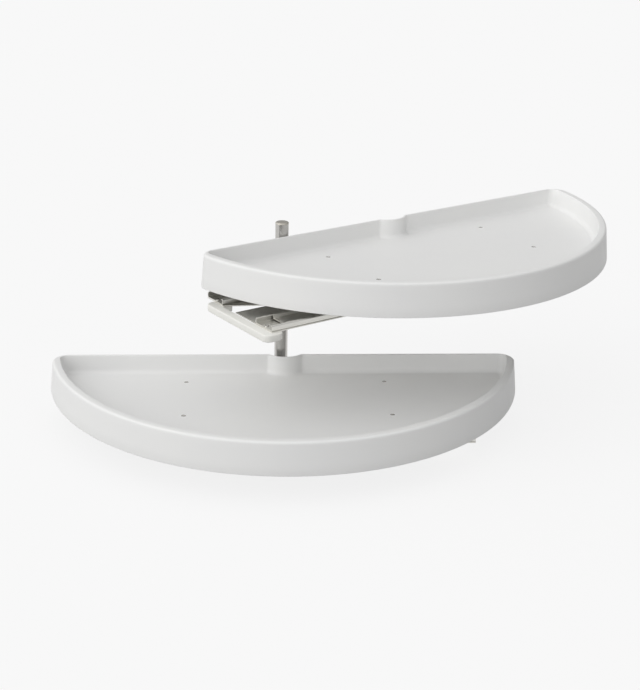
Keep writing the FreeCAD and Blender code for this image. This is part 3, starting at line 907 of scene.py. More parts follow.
@dataclass
class BallSlide:
    """One three-part ball-bearing slide: fixed, middle and tray rail with two pairs of cages."""

    place: TierPlace
    side: Side
    line_y: float
    left: float = -161.0 * MM
    length: float = 463.0 * MM
    tray_left: float = -178.0 * MM
    half_width: float = 22.5 * MM
    bottom: float = -18.0 * MM
    top: float = -8.5 * MM
    sheet: float = 1.5 * MM
    lip: float = 3.6 * MM
    inner_sheet: float = 1.2 * MM
    ball: float = 3.2 * MM
    ball_gap: float = 2.6 * MM
    middle_drop: float = 6.2 * MM
    tray_rise: float = 1.5 * MM
    outer_ball_z: float = -13.0 * MM
    inner_ball_z: float = -11.0 * MM
    race_depth: float = 0.45 * MM
    race_half: float = 1.7 * MM
    bend: float = 1.3 * MM
    outer_cage: tuple[float, float, float] = (40.0 * MM, 360.0 * MM, 5.0 * MM)
    inner_cage: tuple[float, float, float] = (212.0 * MM, 226.0 * MM, 4.4 * MM)
    race_bend: float = 2.0 * MM
    middle_below: float = 0.1 * MM
    tray_gap: float = 0.4 * MM
    cage_thickness: float = 0.8 * MM
    balls: int = 10
    end_round: float = 0.3 * MM

    def middle_half(self) -> float:
        """Half the width of the middle rail."""
        return self.half_width - self.sheet - self.ball_gap

    def tray_half(self) -> float:
        """Half the width of the tray rail."""
        return self.middle_half() - self.inner_sheet - self.ball_gap

    def wall(self, x: float, low: float, high: float, race_z: float, push: float) -> list[Point]:
        """Centre line of one side wall with its pressed ball race.

        Args:
            x: the wall's place.
            low: its lower end.
            high: its upper end.
            race_z: height of the race.
            push: how far the race is pressed, outwards if positive.

        Returns:
            Points from low to high.
        """
        return [(x, low), (x, race_z - self.race_half), (x + push, race_z), (x, race_z + self.race_half), (x, high)]

    def section(self, member: Member) -> SheetSection:
        """The section of one rail, seen along the slide.

        Args:
            member: which rail.

        Returns:
            The section, with its wall races.
        """
        if member is Member.FIXED:
            x, low, high = self.half_width - self.sheet / 2, self.bottom + self.sheet / 2, self.top - self.sheet / 2
            mouth = self.half_width - self.lip + self.sheet / 2
            race = self.wall(x, low, high, self.outer_ball_z, self.race_depth / 2)[1:-1]
            right = [(x, low), *race, (x, high), (mouth, high)]
            bends = [self.bend, *[self.race_bend] * 3, self.bend]
            thickness = self.sheet
        elif member is Member.MIDDLE:
            floor = self.top - self.middle_drop
            x, low = self.middle_half() - self.inner_sheet / 2, floor + self.inner_sheet / 2
            high = self.top - self.middle_below - self.inner_sheet / 2
            right = [(x, low), (x, high)]
            bends = [self.bend]
            thickness = self.inner_sheet
        else:
            x = self.tray_half() - self.inner_sheet / 2
            high = self.top + self.tray_rise - self.inner_sheet / 2
            low = self.top - self.middle_drop + self.inner_sheet + self.tray_gap + self.inner_sheet / 2
            right = [(x, high), (x, low)]
            bends = [self.bend]
            thickness = self.inner_sheet
        left = [(-px, py) for px, py in reversed(right)]
        bends_all = [*reversed(bends), *bends]
        return SheetSection(tuple(left + right), tuple(bends_all), thickness)

    def extrude(self, name: str, outline: Sequence[Point], start: float) -> bpy.types.Object:
        """Runs a rail's section along the slide, with its two ends slightly rounded.

        Args:
            name: the object's name.
            outline: the closed section, (y, z).
            start: the left end.

        Returns:
            The rail.
        """
        shape = bmesh.new()
        end = start + self.length
        stations = [start, start + self.end_round, start + self.length / 3, start + 2 * self.length / 3,
                    end - self.end_round, end]
        loops = [[shape.verts.new((x, self.line_y + y, z)) for y, z in outline] for x in stations]
        bridge(shape, loops)
        for loop in (loops[0], loops[-1]):
            shape.faces.new(loop)
        bmesh.ops.recalc_face_normals(shape, faces=shape.faces)
        return mesh_piece(name, shape)

    def rail(self, member: Member) -> bpy.types.Object:
        """Builds one rail.

        Args:
            member: which rail.

        Returns:
            The rail.
        """
        start = self.tray_left if member is Member.TRAY else self.left
        name = self.place.node(f"{member.value}_{self.side.value}_rolled")
        return self.extrude(name, self.section(member).outline(), start)

    def cage(self, balls: "FastenerRow", finish: bpy.types.Material) -> bpy.types.Object:
        """Builds the cage strips and sets their balls.

        Args:
            balls: the tree that sets balls on points.
            finish: material of strips and balls.

        Returns:
            One piece with all strips and balls of this slide.
        """
        shape = bmesh.new()
        places: list[Vector] = []
        outer_y = self.middle_half() + self.ball_gap / 2
        inner_y = self.tray_half() + self.ball_gap / 2
        for (first, length, height), y, z in ((self.outer_cage, outer_y, self.outer_ball_z),
                                              (self.inner_cage, inner_y, self.inner_ball_z)):
            pitch = length / self.balls
            for side in (-1, 1):
                middle = self.line_y + side * y
                start = self.left + first
                self.strip(shape, start, length, middle, z, height)
                places += [Vector((start + (k + 0.5) * pitch, middle, z)) for k in range(self.balls)]
        strips = mesh_piece("strips", shape)
        name = self.place.node(f"ball_cage_{self.side.value}_filled")
        return balls.set_on(name, places, finish, extra=strips)

    def strip(self, shape: bmesh.types.BMesh, start: float, length: float, y: float, z: float, height: float) -> None:
        """Adds one thin cage strip with its two long edges turned in.

        Args:
            shape: the bmesh.
            start: left end.
            length: its length.
            y: its middle.
            z: its middle height.
            height: its height.
        """
        half = self.cage_thickness / 2
        low, high = z - height / 2, z + height / 2
        outline = [(y - half, low), (y + half, low), (y + half, high), (y - half, high)]
        loops = [[shape.verts.new((x, py, pz)) for py, pz in outline] for x in (start, start + length)]
        bridge(shape, loops)
        shape.faces.new(loops[0])
        shape.faces.new(loops[1])
        bmesh.ops.recalc_face_normals(shape, faces=shape.faces)

    def build(self, plated: bpy.types.Material, fastener: bpy.types.Material, balls: "FastenerRow") -> None:
        """Builds and places the whole slide.

        Args:
            plated: material of the rails.
            fastener: material of cages and balls.
            balls: the tree that sets balls on points.
        """
        travels = {Member.FIXED: 0.0, Member.MIDDLE: self.place.creep, Member.TRAY: self.place.slide}
        bodies = {Member.FIXED: "carriage", Member.MIDDLE: "middle_rails", Member.TRAY: "tray_unit"}
        for member in Member:
            piece = self.rail(member)
            node = f"{member.value}_{self.side.value}"
            self.place.finish_piece(piece, travels[member], plated, "plated_steel", bodies[member], [node])
        cage = self.cage(balls, fastener)
        self.place.finish_piece(cage, self.place.creep, fastener, "fastener_steel", "middle_rails",
                                [f"ball_cage_{self.side.value}"])


# ---------------------------------------------------------------- fasteners set by geometry nodes


@dataclass
class FastenerRow:
    """A geometry node tree that sets one small part on each point, and turns each by chance."""

    name: str
    part: bpy.types.Object
    turned: bool
    seed: int = 7
    tree: Optional[bpy.types.NodeTree] = field(default=None, init=False)

    def make_tree(self) -> bpy.types.NodeTree:
        """Builds the node tree with its named inputs."""
        tree = bpy.data.node_groups.new(self.name, "GeometryNodeTree")
        face = tree.interface
        face.new_socket("Places", in_out="INPUT", socket_type="NodeSocketGeometry")
        face.new_socket("Part", in_out="INPUT", socket_type="NodeSocketObject")
        face.new_socket("Finish", in_out="INPUT", socket_type="NodeSocketMaterial")
        face.new_socket("Most Turn", in_out="INPUT", socket_type="NodeSocketFloat")
        face.new_socket("Seed", in_out="INPUT", socket_type="NodeSocketInt")
        face.new_socket("Set Parts", in_out="OUTPUT", socket_type="NodeSocketGeometry")
        nodes, links = tree.nodes, tree.links
        start, end = nodes.new("NodeGroupInput"), nodes.new("NodeGroupOutput")
        source = nodes.new("GeometryNodeObjectInfo")
        chance = nodes.new("FunctionNodeRandomValue")
        chance.data_type = "FLOAT"
        turn = nodes.new("ShaderNodeCombineXYZ")
        setter = nodes.new("GeometryNodeInstanceOnPoints")
        real = nodes.new("GeometryNodeRealizeInstances")
        dressing = nodes.new("GeometryNodeSetMaterial")
        links.new(start.outputs["Places"], setter.inputs["Points"])
        links.new(start.outputs["Part"], source.inputs["Object"])
        links.new(source.outputs["Geometry"], setter.inputs["Instance"])
        links.new(start.outputs["Most Turn"], chance.inputs[3])
        links.new(start.outputs["Seed"], chance.inputs["Seed"])
        links.new(chance.outputs[1], turn.inputs["Z"])
        links.new(turn.outputs["Vector"], setter.inputs["Rotation"])
        links.new(setter.outputs["Instances"], real.inputs["Geometry"])
        links.new(real.outputs["Geometry"], dressing.inputs["Geometry"])
        links.new(start.outputs["Finish"], dressing.inputs["Material"])
        links.new(dressing.outputs["Geometry"], end.inputs["Set Parts"])
        return tree

    def set_on(self, name: str, places: Sequence[Vector], finish: bpy.types.Material,
               extra: Optional[bpy.types.Object] = None) -> bpy.types.Object:
        """Sets the part on every place and turns the result into one plain mesh.

        Args:
            name: the new object's name.
            places: points in the tier's frame.
            finish: the parts' material.
            extra: another object whose mesh is joined in, and which is then removed.

        Returns:
            The new piece.
        """
        if self.tree is None:
            self.tree = self.make_tree()
        mesh = bpy.data.meshes.new(name)
        mesh.from_pydata([tuple(p) for p in places], [], [])
        piece = bpy.data.objects.new(name, mesh)
        bpy.context.scene.collection.objects.link(piece)
        modifier = piece.modifiers.new("set parts", "NODES")
        modifier.node_group = self.tree
        most_turn = 2 * math.pi if self.turned else 0.0
        values = {"Part": self.part, "Finish": finish, "Most Turn": most_turn, "Seed": self.seed}
        sockets = {item.name: item.identifier for item in self.tree.interface.items_tree if item.in_out == "INPUT"}
        for key, value in values.items():
            modifier[sockets[key]] = value
        bake_modifiers(piece)
        if extra is not None:
            joined = bmesh.new()
            joined.from_mesh(piece.data)
            joined.from_mesh(extra.data)
            joined.to_mesh(piece.data)
            joined.free()
            bpy.data.objects.remove(extra)
        return piece


@dataclass(frozen=True)
class FastenerShapes:
    """The small parts themselves, each drawn with its seat at the origin."""

    screw_radius: float = 2.0 * MM
    head_radius: float = 3.8 * MM
    head_height: float = 1.2 * MM
    cross_arm: float = 1.7 * MM
    cross_half: float = 0.45 * MM
    cross_depth: float = 1.1 * MM
    cross_taper: float = 0.55
    pan_cross_depth: float = 0.7 * MM
    pan_round: float = 0.5 * MM
    pan_plain: float = 3.4 * MM
    pan_steps: int = 28
    thread_pitch: float = 0.7 * MM
    thread_depth: float = 0.3 * MM
    thread_clear: float = 0.4 * MM
    tip_length: float = 0.8 * MM
    rivet_radius: float = 2.0 * MM
    rivet_head: float = 3.5 * MM
    rivet_height: float = 1.1 * MM
    rivet_tail: float = 3.0 * MM
    rivet_tail_height: float = 0.9 * MM
    rivet_chamfer: float = 0.3 * MM
    nut_across: float = 7.0 * MM
    nut_height: float = 3.2 * MM
    edge: float = 0.12 * MM

    def spin(self, name: str, profile: Sequence[Point], steps: int = 24) -> bpy.types.Object:
        """Turns an open profile that starts and ends on the axis.

        Args:
            name: the object's name.
            profile: (radius, z) points, first and last at radius 0.
            steps: segments round the axis.

        Returns:
            The part.
        """
        shape = bmesh.new()
        rings = [ring(shape, circle(0.0, 0.0, radius, steps), z) for radius, z in profile[1:-1]]
        bridge(shape, rings)
        for loop, (_, z) in ((rings[0], profile[0]), (rings[-1], profile[-1])):
            tip = shape.verts.new((0.0, 0.0, z))
            for one, two in zip(loop, [*loop[1:], loop[0]]):
                shape.faces.new((one, two, tip))
        bmesh.ops.recalc_face_normals(shape, faces=shape.faces)
        part = mesh_piece(name, shape)
        part.hide_render = True
        return part

    def cut_cross(self, part: bpy.types.Object, top: float, depth: float) -> None:
        """Cuts a driver's cross into a head.

        Args:
            part: the screw.
            top: height of the head's top.
            depth: depth of the cross.
        """
        for turn in (0.0, QUARTER):
            shape = bmesh.new()
            bmesh.ops.create_cube(shape, size=1.0)
            size = Matrix.Diagonal((2 * self.cross_arm, 2 * self.cross_half, 2 * depth, 1.0))
            matrix = Matrix.Translation((0.0, 0.0, top)) @ Matrix.Rotation(turn, 4, "Z") @ size
            bmesh.ops.transform(shape, matrix=matrix, verts=shape.verts)
            for vert in shape.verts:
                if vert.co.z < top:
                    vert.co.x *= self.cross_taper
                    vert.co.y *= self.cross_taper
            cutter = mesh_piece("cross", shape)
            cut = part.modifiers.new("cross", "BOOLEAN")
            cut.operation = "DIFFERENCE"
            cut.solver = "EXACT"
            cut.object = cutter
            bake_modifiers(part)
            bpy.data.objects.remove(cutter)

    def flat_screw(self, length: float) -> bpy.types.Object:
        """Countersunk screw with its head's top at the origin.

        Args:
            length: from the head's top to the tip.

        Returns:
            The screw.
        """
        cone = self.head_radius - self.screw_radius
        profile = [(0.0, 0.0), (self.head_radius - 2 * self.edge, 0.0), (self.head_radius, -self.edge),
                   (self.screw_radius, -cone),
                   *self.thread(-cone - self.thread_clear, -length + self.tip_length),
                   (self.screw_radius * 0.6, -length), (0.0, -length)]
        part = self.spin("flat_screw", profile)
        self.cut_cross(part, 0.0, self.cross_depth)
        return part

    def thread(self, top: float, bottom: float) -> list[Point]:
        """A thread's crests and roots, drawn as rings.

        Args:
            top: upper end.
            bottom: lower end.

        Returns:
            (radius, z) points.
        """
        pitch = self.thread_pitch
        root = self.screw_radius - self.thread_depth
        points = []
        z = top
        while z > bottom + pitch:
            points.append((self.screw_radius, z))
            points.append((root, z - pitch / 2))
            z -= pitch
        return points

    def pan_screw(self, length: float) -> bpy.types.Object:
        """Low pan-head screw with its seat at the origin.

        Args:
            length: from the seat to the tip.

        Returns:
            The screw.
        """
        top = self.head_height
        rounding = self.pan_round
        profile = [(0.0, top), (self.head_radius - rounding, top), (self.head_radius - 0.15 * MM, top - 0.2 * MM),
                   (self.head_radius, top - rounding), (self.head_radius, 0.0), (self.screw_radius, 0.0),
                   *self.thread(-self.pan_plain, -length + self.tip_length),
                   (self.screw_radius * 0.5, -length), (0.0, -length)]
        part = self.spin("pan_screw", profile, self.pan_steps)
        self.cut_cross(part, top, self.pan_cross_depth)
        return part

    def rivet(self, grip: float) -> bpy.types.Object:
        """Closed rivet with its head's seat at the origin.

        Args:
            grip: thickness that it holds.

        Returns:
            The rivet.
        """
        top = self.rivet_height
        dome = [(self.rivet_head * math.cos(t), top * math.sin(t)) for t in (0.3, 0.6, 0.9, 1.2)]
        profile = [(0.0, top), *reversed(dome), (self.rivet_head, 0.0), (self.rivet_radius, 0.0),
                   (self.rivet_radius, -grip), (self.rivet_tail, -grip),
                   (self.rivet_tail, -grip - self.rivet_tail_height + self.rivet_chamfer),
                   (self.rivet_tail - self.rivet_chamfer, -grip - self.rivet_tail_height),
                   (0.0, -grip - self.rivet_tail_height)]
        return self.spin("rivet", profile)

    def nut(self) -> bpy.types.Object:
        """Hexagon nut that hangs from the origin, with chamfered corners."""
        sides, steps = 6, 36
        shape = bmesh.new()
        flat = self.nut_across / 2

        def outline(radius: float) -> list[Point]:
            """The hexagon, cut back to a circle of this radius."""
            points = []
            for k in range(steps):
                turn = 2 * math.pi * k / steps
                within = (turn + math.pi / sides) % (2 * math.pi / sides) - math.pi / sides
                reach = min(flat / math.cos(within), radius)
                points.append((reach * math.cos(turn), reach * math.sin(turn)))
            return points

        chamfer = 0.35 * MM
        full = flat / math.cos(math.pi / sides)
        bore = self.screw_radius + 0.05 * MM
        loops = [
            ring(shape, circle(0.0, 0.0, bore, steps), 0.0),
            ring(shape, outline(flat), 0.0),
            ring(shape, outline(full), -chamfer),
            ring(shape, outline(full), -self.nut_height + chamfer),
            ring(shape, outline(flat), -self.nut_height),
            ring(shape, circle(0.0, 0.0, bore, steps), -self.nut_height),
        ]
        bridge(shape, loops + loops[:1])
        bmesh.ops.recalc_face_normals(shape, faces=shape.faces)
        part = mesh_piece("nut", shape, 20.0)
        part.hide_render = True
        return part

    def ball(self, diameter: float) -> bpy.types.Object:
        """One bearing ball of few faces.

        Args:
            diameter: its diameter.

        Returns:
            The ball.
        """
        shape = bmesh.new()
        bmesh.ops.create_icosphere(shape, subdivisions=2, radius=diameter / 2)
        part = mesh_piece("ball", shape, 60.0)
        part.hide_render = True
        return part


# ---------------------------------------------------------------- swinging carriage


@dataclass
class CrossBar:
    """The moulded bar under the left ends of both rails: rounded edges, and a recess at the plate's notch."""

    place: TierPlace
    left: float = -177.0 * MM
    width: float = 34.0 * MM
    back: float = -50.0 * MM
    length: float = 176.0 * MM
    top: float = -19.5 * MM
    thickness: float = 11.5 * MM
    corner: float = 12.0 * MM
    edge: float = 2.0 * MM
    recess_left: float = -161.0 * MM
    recess_back: float = -79.0 * MM
    recess_front: float = -172.5 * MM
    recess_corner: float = 4.0 * MM
    corner_steps: int = 12
    edge_steps: int = 5

    def corners(self) -> list[tuple[float, float, float]]:
        """Corners of the bar in plan, counter-clockwise, each with its round."""
        right, front = self.left + self.width, self.back - self.length
        ends = [(right, self.back), (self.left, self.back), (self.left, front), (right, front)]
        recess = [(right, self.recess_front), (self.recess_left, self.recess_front),
                  (self.recess_left, self.recess_back), (right, self.recess_back)]
        return [(*point, self.corner) for point in ends] + [(*point, self.recess_corner) for point in recess]

    def outline(self, inward: float) -> list[Point]:
        """The bar's plan, moved in.

        Args:
            inward: how far.

        Returns:
            Its points.
        """
        corners = self.corners()
        points = []
        for before, (x, y, radius), after in zip([corners[-1], *corners], corners, [*corners[1:], corners[0]]):
            into = Vector((x - before[0], y - before[1])).normalized()
            out = Vector((after[0] - x, after[1] - y)).normalized()
            side = math.copysign(1.0, into.cross(out))
            centre = Vector((x, y)) + (out - into) * radius
            reach = side * radius - inward
            for k in range(self.corner_steps + 1):
                turn = QUARTER * k / self.corner_steps
                normal = Vector((into.y, -into.x)) * math.cos(turn) + Vector((out.y, -out.x)) * math.sin(turn)
                points.append(tuple(centre + normal * reach))
        return points

    def build(self, finish: bpy.types.Material) -> None:
        """Builds and places the bar.

        Args:
            finish: the polymer.
        """
        shape = bmesh.new()
        rounding = quarter_round(self.edge, self.edge_steps)
        bottom = self.top - self.thickness
        support = 0.6 * MM
        loops = [ring(shape, self.outline(self.edge + support), bottom)]
        loops += [ring(shape, self.outline(inward), bottom + below) for inward, below in reversed(rounding)]
        loops += [ring(shape, self.outline(inward), self.top - below) for inward, below in rounding]
        loops.append(ring(shape, self.outline(self.edge + support), self.top))
        bridge(shape, loops)
        shape.faces.new(loops[0])
        shape.faces.new(loops[-1])
        bmesh.ops.recalc_face_normals(shape, faces=shape.faces)
        bar = mesh_piece(self.place.node("cross_bar_moulding"), shape)
        self.place.finish_piece(bar, 0.0, finish, BAR_POLYMER.slot, "carriage", ["cross_bar"])


@dataclass
class EdgedCopy:
    """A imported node's own shape, merged and given broken edges, as a pressed or turned part has."""

    node: str
    body: str
    edge: float = 0.2 * MM
    segments: int = 2
    crease: float = 35.0

    def build(self, finish: bpy.types.Material, slot: str) -> None:
        """Builds the copy from the node's mesh.

        Args:
            finish: its material.
            slot: not used.
        """
        shape = bmesh.new()
        shape.from_mesh(frame["nodes"][self.node].data)
        bmesh.ops.remove_doubles(shape, verts=shape.verts, dist=0.002 * MM)
        bmesh.ops.dissolve_limit(shape, angle_limit=math.radians(0.5), verts=shape.verts, edges=shape.edges)
        piece = mesh_piece(f"{self.node}_edged", shape, self.crease)
        bevel = piece.modifiers.new("broken edges", "BEVEL")
        bevel.width = self.edge
        bevel.segments = self.segments
        bevel.limit_method = "ANGLE"
        bevel.angle_limit = math.radians(self.crease)
        bake_modifiers(piece)
        piece.data.set_sharp_from_angle(angle=math.radians(self.crease))
        dress(piece, finish, self.body, [self.node])


# ---------------------------------------------------------------- the pole


@dataclass
class PoleTube:
    """The plated pole with its clip grooves, and the turned cap in its top end."""

    radius: float = 11.1 * MM
    wall: float = 1.5 * MM
    groove_depth: float = 0.5 * MM
    groove_width: float = 1.4 * MM
    groove_foot: tuple[float, ...] = (44.7 * MM, 250.5 * MM)
    cap_chamfer: float = 1.2 * MM
    cap_face_round: float = 0.35 * MM
    cap_seam: float = 0.25 * MM
    steps: int = 96

    def tube(self, finish: bpy.types.Material) -> None:
        """Builds the tube.

        Args:
            finish: the plating.
        """
        low, high = (corner.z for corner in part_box("pole"))
        edge = 0.25 * MM
        outer = [(self.radius - edge, low), (self.radius, low + edge)]
        for foot in self.groove_foot:
            root = self.radius - self.groove_depth
            outer += [(self.radius, foot - 0.1 * MM), (self.radius - 0.1 * MM, foot), (root, foot),
                      (root, foot + self.groove_width), (self.radius - 0.1 * MM, foot + self.groove_width),
                      (self.radius, foot + self.groove_width + 0.1 * MM)]
        outer += [(self.radius, high - edge), (self.radius - edge, high)]
        bore = self.radius - self.wall
        piece = solid_of_revolution("pole_tube", outer + [(bore, high), (bore, low)], self.steps)
        dress(piece, finish, "stand", ["pole"])

    def cap(self, finish: bpy.types.Material) -> None:
        """Builds the cap: head, chamfer and stem.

        Args:
            finish: the turned metal.
        """
        low, high = (corner.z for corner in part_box("pole_cap"))
        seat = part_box("pole")[1].z
        stem = self.radius - self.wall - 0.1 * MM
        rim = self.radius - self.cap_chamfer
        profile = [(0.0, high), (rim - self.cap_face_round, high), (rim, high - 0.08 * MM),
                   (self.radius - 0.1 * MM, high - self.cap_chamfer + 0.05 * MM),
                   (self.radius, high - self.cap_chamfer - 0.1 * MM), (self.radius, seat + self.cap_seam),
                   (self.radius - self.cap_seam, seat), (stem, seat), (stem, low + 0.5 * MM), (stem - 0.5 * MM, low),
                   (0.0, low)]
        piece = FastenerShapes().spin("pole_cap_turned", profile, self.steps)
        piece.hide_render = False
        dress(piece, finish, "stand", ["pole_cap"])


# ---------------------------------------------------------------- studio


@dataclass
class Studio:
    """Pale floor, soft daylight from the upper left and the camera."""

    backdrop: float = 0.953
    floor_colour: Colour = (0.90, 0.90, 0.90)
    floor_bounce: Colour = (0.38, 0.38, 0.38)
    floor_half: float = 30.0
    shadow_share: float = 0.12
    camera_at: tuple[float, float, float] = (-0.0745, -2.2225, 0.9698)
    camera_turn: tuple[float, float, float] = (68.885, -1.084, -3.201)
    lens: float = 73.59
    sensor: float = 36.0
    sky_low: float = 0.42
    sky_high: float = 1.24
    key_from: tuple[float, float, float] = (-0.72, -0.50, 0.50)
    key_strength: float = 0.95
    key_angle: float = 70.0

    def camera(self) -> None:
        """Makes the camera at the photograph's viewing angle."""
        data = bpy.data.cameras.new("camera")
        data.lens = self.lens
        data.sensor_width = self.sensor
        data.clip_end = 100.0
        camera = bpy.data.objects.new("camera", data)
        camera.location = self.camera_at
        camera.rotation_euler = [math.radians(turn) for turn in self.camera_turn]
        bpy.context.scene.collection.objects.link(camera)
        bpy.context.scene.camera = camera

    def floor(self) -> None:
        """Makes the floor, which shows the backdrop's tone and keeps a soft shadow."""
        shape = bmesh.new()
        bmesh.ops.create_grid(shape, x_segments=1, y_segments=1, size=self.floor_half)
        floor = mesh_piece("studio_floor", shape)
        material = bpy.data.materials.new("studio_floor")
        material.use_nodes = True
        tree = material.node_tree
        tree.nodes.clear()
        out = tree.nodes.new("ShaderNodeOutputMaterial")
        diffuse = tree.nodes.new("ShaderNodeBsdfDiffuse")
        tone = blend_colours(tree, self.seen(tree, 1.0), self.floor_bounce, self.floor_colour)
        tree.links.new(tone, diffuse.inputs["Color"])
        glow = tree.nodes.new("ShaderNodeEmission")
        glow.inputs["Strength"].default_value = self.backdrop
        mix = tree.nodes.new("ShaderNodeMixShader")
        tree.links.new(self.seen(tree, 1.0 - self.shadow_share), mix.inputs["Fac"])
        tree.links.new(diffuse.outputs["BSDF"], mix.inputs[1])
        tree.links.new(glow.outputs["Emission"], mix.inputs[2])
        tree.links.new(mix.outputs["Shader"], out.inputs["Surface"])
        floor.data.materials.append(material)

    def seen(self, tree: bpy.types.NodeTree, share: float) -> bpy.types.NodeSocket:
        """A value that is share for rays from the eye, mirrors and glass, and 0 for the rest.

        Args:
            tree: the node tree.
            share: the value.

        Returns:
            The socket.
        """
        path = tree.nodes.new("ShaderNodeLightPath")
        total = path.outputs["Is Camera Ray"]
        for name in ("Is Glossy Ray", "Is Transmission Ray"):
            most = tree.nodes.new("ShaderNodeMath")
            most.operation = "MAXIMUM"
            tree.links.new(total, most.inputs[0])
            tree.links.new(path.outputs[name], most.inputs[1])
            total = most.outputs["Value"]
        scaled = tree.nodes.new("ShaderNodeMath")
        scaled.operation = "MULTIPLY"
        scaled.inputs[1].default_value = share
        tree.links.new(total, scaled.inputs[0])
        return scaled.outputs["Value"]

    def sky(self) -> None:
        """Makes the soft surrounding light, brighter on the key's side."""
        world = bpy.data.worlds.new("studio_sky")
        bpy.context.scene.world = world
        world.use_nodes = True
        tree = world.node_tree
        tree.nodes.clear()
        out = tree.nodes.new("ShaderNodeOutputWorld")
        place = tree.nodes.new("ShaderNodeTexCoord")
        towards = tree.nodes.new("ShaderNodeVectorMath")
        towards.operation = "DOT_PRODUCT"
        towards.inputs[1].default_value = Vector(self.key_from).normalized()
        tree.links.new(place.outputs["Generated"], towards.inputs[0])
        level = tree.nodes.new("ShaderNodeMapRange")
        level.interpolation_type = "SMOOTHSTEP"
        level.inputs["From Min"].default_value = -0.7
        level.inputs["From Max"].default_value = 0.9
        level.inputs["To Min"].default_value = self.sky_low
        level.inputs["To Max"].default_value = self.sky_high
        tree.links.new(towards.outputs["Value"], level.inputs["Value"])
        light = tree.nodes.new("ShaderNodeBackground")
        tree.links.new(level.outputs["Result"], light.inputs["Strength"])
        tree.links.new(light.outputs["Background"], out.inputs["Surface"])

    def key(self) -> None:
        """Makes the broad key light."""
        data = bpy.data.lights.new("key", "SUN")
        data.energy = self.key_strength
        data.angle = math.radians(self.key_angle)
        lamp = bpy.data.objects.new("key", data)
        lamp.rotation_euler = Vector(self.key_from).to_track_quat("Z", "Y").to_euler()
        bpy.context.scene.collection.objects.link(lamp)

    def build(self) -> None:
        """Builds the whole studio."""
        bpy.context.scene.view_settings.view_transform = "Standard"
        self.camera()
        self.floor()
        self.sky()
        self.key()


# ---------------------------------------------------------------- the whole carousel


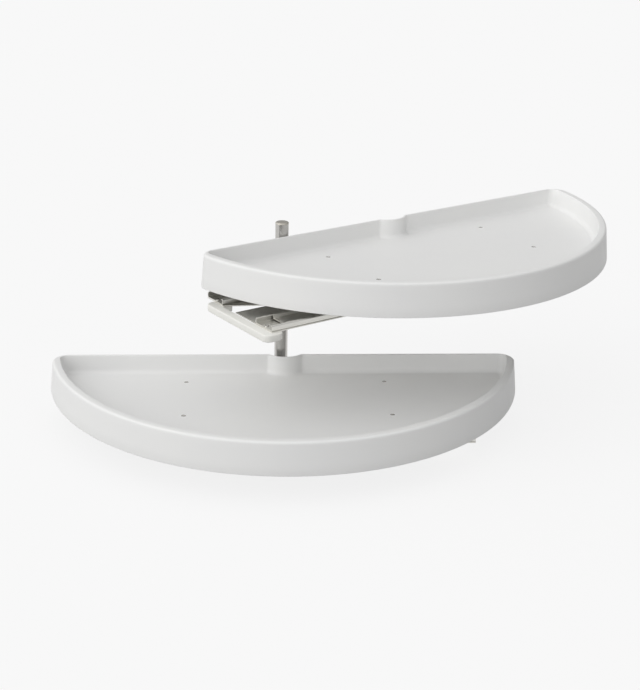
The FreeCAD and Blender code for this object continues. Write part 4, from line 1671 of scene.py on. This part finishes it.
@dataclass
class TierDressing:
    """Everything that one tier carries."""

    place: TierPlace
    materials: dict[str, bpy.types.Material]
    parts: dict[str, FastenerRow]
    bar_screw_inset: float = 5.0 * MM
    rail_left: float = -161.0 * MM
    rail_right: float = 302.0 * MM
    first_rivet: float = 125.0 * MM
    last_rivet: float = 9.0 * MM
    rivets: int = 4
    rail_floor: float = -16.5 * MM
    bearer_foot_reach: float = 21.0 * MM
    bearer_foot_top: float = -5.5 * MM
    tray_screw_top: float = 20.5 * MM
    nut_top: float = 15.8 * MM

    def fasten(self, node: str, body: str, row: str, places: Sequence[Vector], travel: float) -> None:
        """Sets one node's fasteners.

        Args:
            node: the node that they replace, without its tier.
            body: the body, without its tier.
            row: which small part.
            places: points in the tier's frame.
            travel: how far they have slid along the rails.
        """
        finish = self.materials["fastener"]
        piece = self.parts[row].set_on(self.place.node(f"{node}_set"), places, finish)
        self.place.finish_piece(piece, travel, finish, FASTENER_STEEL.slot, body, [node])

    def slide_line(self, side: Side) -> float:
        """Y of a slide's middle, read from the lower rail, which isn't swung.

        Args:
            side: which slide.

        Returns:
            The middle, in the tier's frame.
        """
        low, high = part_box(f"{Tier.LOWER.value}_{Member.FIXED.value}_{side.value}")
        return (low.y + high.y) / 2

    def fasteners(self) -> None:
        """Sets all screws, nuts and rivets of the tier."""
        lines = [self.slide_line(side) for side in Side]
        first, last = self.rail_left + self.first_rivet, self.rail_right - self.last_rivet
        step = (last - first) / (self.rivets - 1)
        rail_rivets = [Vector((first + k * step, y, self.rail_floor)) for y in lines for k in range(self.rivets)]
        self.fasten("rail_rivets", "carriage", "rail_rivet", rail_rivets, 0.0)
        bar_screws = [Vector((self.rail_left + self.bar_screw_inset, y, self.rail_floor)) for y in lines]
        self.fasten("cross_bar_screws", "carriage", "pan_screw", bar_screws, 0.0)
        tray = HalfMoonTray(self.place)
        columns = [side * tray.screw_x for side in (-1, 1)]
        feet = [x + side * self.bearer_foot_reach for x in columns for side in (-1, 1)]
        bearer_rivets = [Vector((x, y, self.bearer_foot_top)) for x in feet for y in lines]
        self.fasten("bearer_rivets", "tray_unit", "bearer_rivet", bearer_rivets, self.place.slide)
        screws = [Vector((x, y, self.tray_screw_top)) for x, y in tray.screw_places()]
        self.fasten("tray_screws", "tray_unit", "flat_screw", screws, self.place.slide)
        nuts = [Vector((x, y, self.nut_top)) for x, y in tray.screw_places()]
        self.fasten("tray_nuts", "tray_unit", "nut", nuts, self.place.slide)

    def build(self) -> None:
        """Builds the tier."""
        HalfMoonTray(self.place).build(self.materials["tray"])
        CrossBar(self.place).build(self.materials["bar"])
        plated = self.plated()
        for side in Side:
            slide = BallSlide(self.place, side, self.slide_line(side))
            slide.build(plated, self.materials["fastener"], self.parts["ball"])
        carriage, tray_unit = self.place.node("carriage"), self.place.node("tray_unit")
        EdgedCopy(self.place.node("swing_plate"), carriage).build(plated, "plated_steel")
        EdgedCopy(self.place.node("hub"), carriage).build(self.materials["turned"], TURNED_STEEL.slot)
        EdgedCopy(self.place.node("hub_bushes"), carriage).build(self.materials["nylon"], NYLON.slot)
        for name in ("bearer_left", "bearer_right"):
            EdgedCopy(self.place.node(name), tray_unit).build(plated, "bearer_steel")
        self.fasteners()

    def plated(self) -> bpy.types.Material:
        """The plated sheet's material, with its rolling lines along this tier's rails."""
        name = self.place.node("plated_sheet")
        finish = RolledPlate(name, "plated_steel", (0.76, 0.75, 0.71), (0.70, 0.69, 0.65), 0.32, 0.42, self.place.swing)
        return finish.material()


@dataclass
class Stand:
    """The foot, pole and what is fixed to the pole."""

    materials: dict[str, bpy.types.Material]

    def build(self) -> None:
        """Builds the stand."""
        pole = PoleTube()
        pole.tube(self.materials["pole"])
        pole.cap(self.materials["cap"])
        for node in ("floor_flange", "upper_support_collar"):
            EdgedCopy(node, "stand", 0.3 * MM).build(self.materials["turned"], TURNED_STEEL.slot)
        EdgedCopy("thrust_washers", "stand").build(self.materials["nylon"], NYLON.slot)
        for node in ("retaining_clips", "grub_screws"):
            EdgedCopy(node, "stand", 0.12 * MM).build(self.materials["fastener"], FASTENER_STEEL.slot)


def small_parts() -> dict[str, FastenerRow]:
    """Draws the small parts once and makes the tree that sets each.

    Returns:
        The trees by the small part's name.
    """
    shapes = FastenerShapes()
    return {
        "flat_screw": FastenerRow("set_flat_screws", shapes.flat_screw(9.9 * MM), True),
        "pan_screw": FastenerRow("set_pan_screws", shapes.pan_screw(11.6 * MM), True, 3),
        "rail_rivet": FastenerRow("set_rail_rivets", shapes.rivet(3.0 * MM), False),
        "bearer_rivet": FastenerRow("set_bearer_rivets", shapes.rivet(2.7 * MM), False),
        "nut": FastenerRow("set_nuts", shapes.nut(), True, 11),
        "ball": FastenerRow("set_balls", shapes.ball(3.2 * MM), False),
    }


def main() -> None:
    """Builds studio, stand and both tiers, in that order."""
    logging.basicConfig(level=logging.INFO, format="%(message)s")
    Studio().build()
    materials = {
        "tray": TRAY_POLYMER.material(),
        "bar": BAR_POLYMER.material(),
        "nylon": NYLON.material(),
        "pole": POLE_CHROME.material(),
        "cap": CAP_STEEL.material(),
        "turned": TURNED_STEEL.material(),
        "fastener": FASTENER_STEEL.material(),
    }
    parts = small_parts()
    Stand(materials).build()
    for tier in Tier:
        TierDressing(TierPlace.read(tier), materials, parts).build()
    for row in parts.values():
        bpy.data.objects.remove(row.part)


if __name__ == "__main__":
    main()
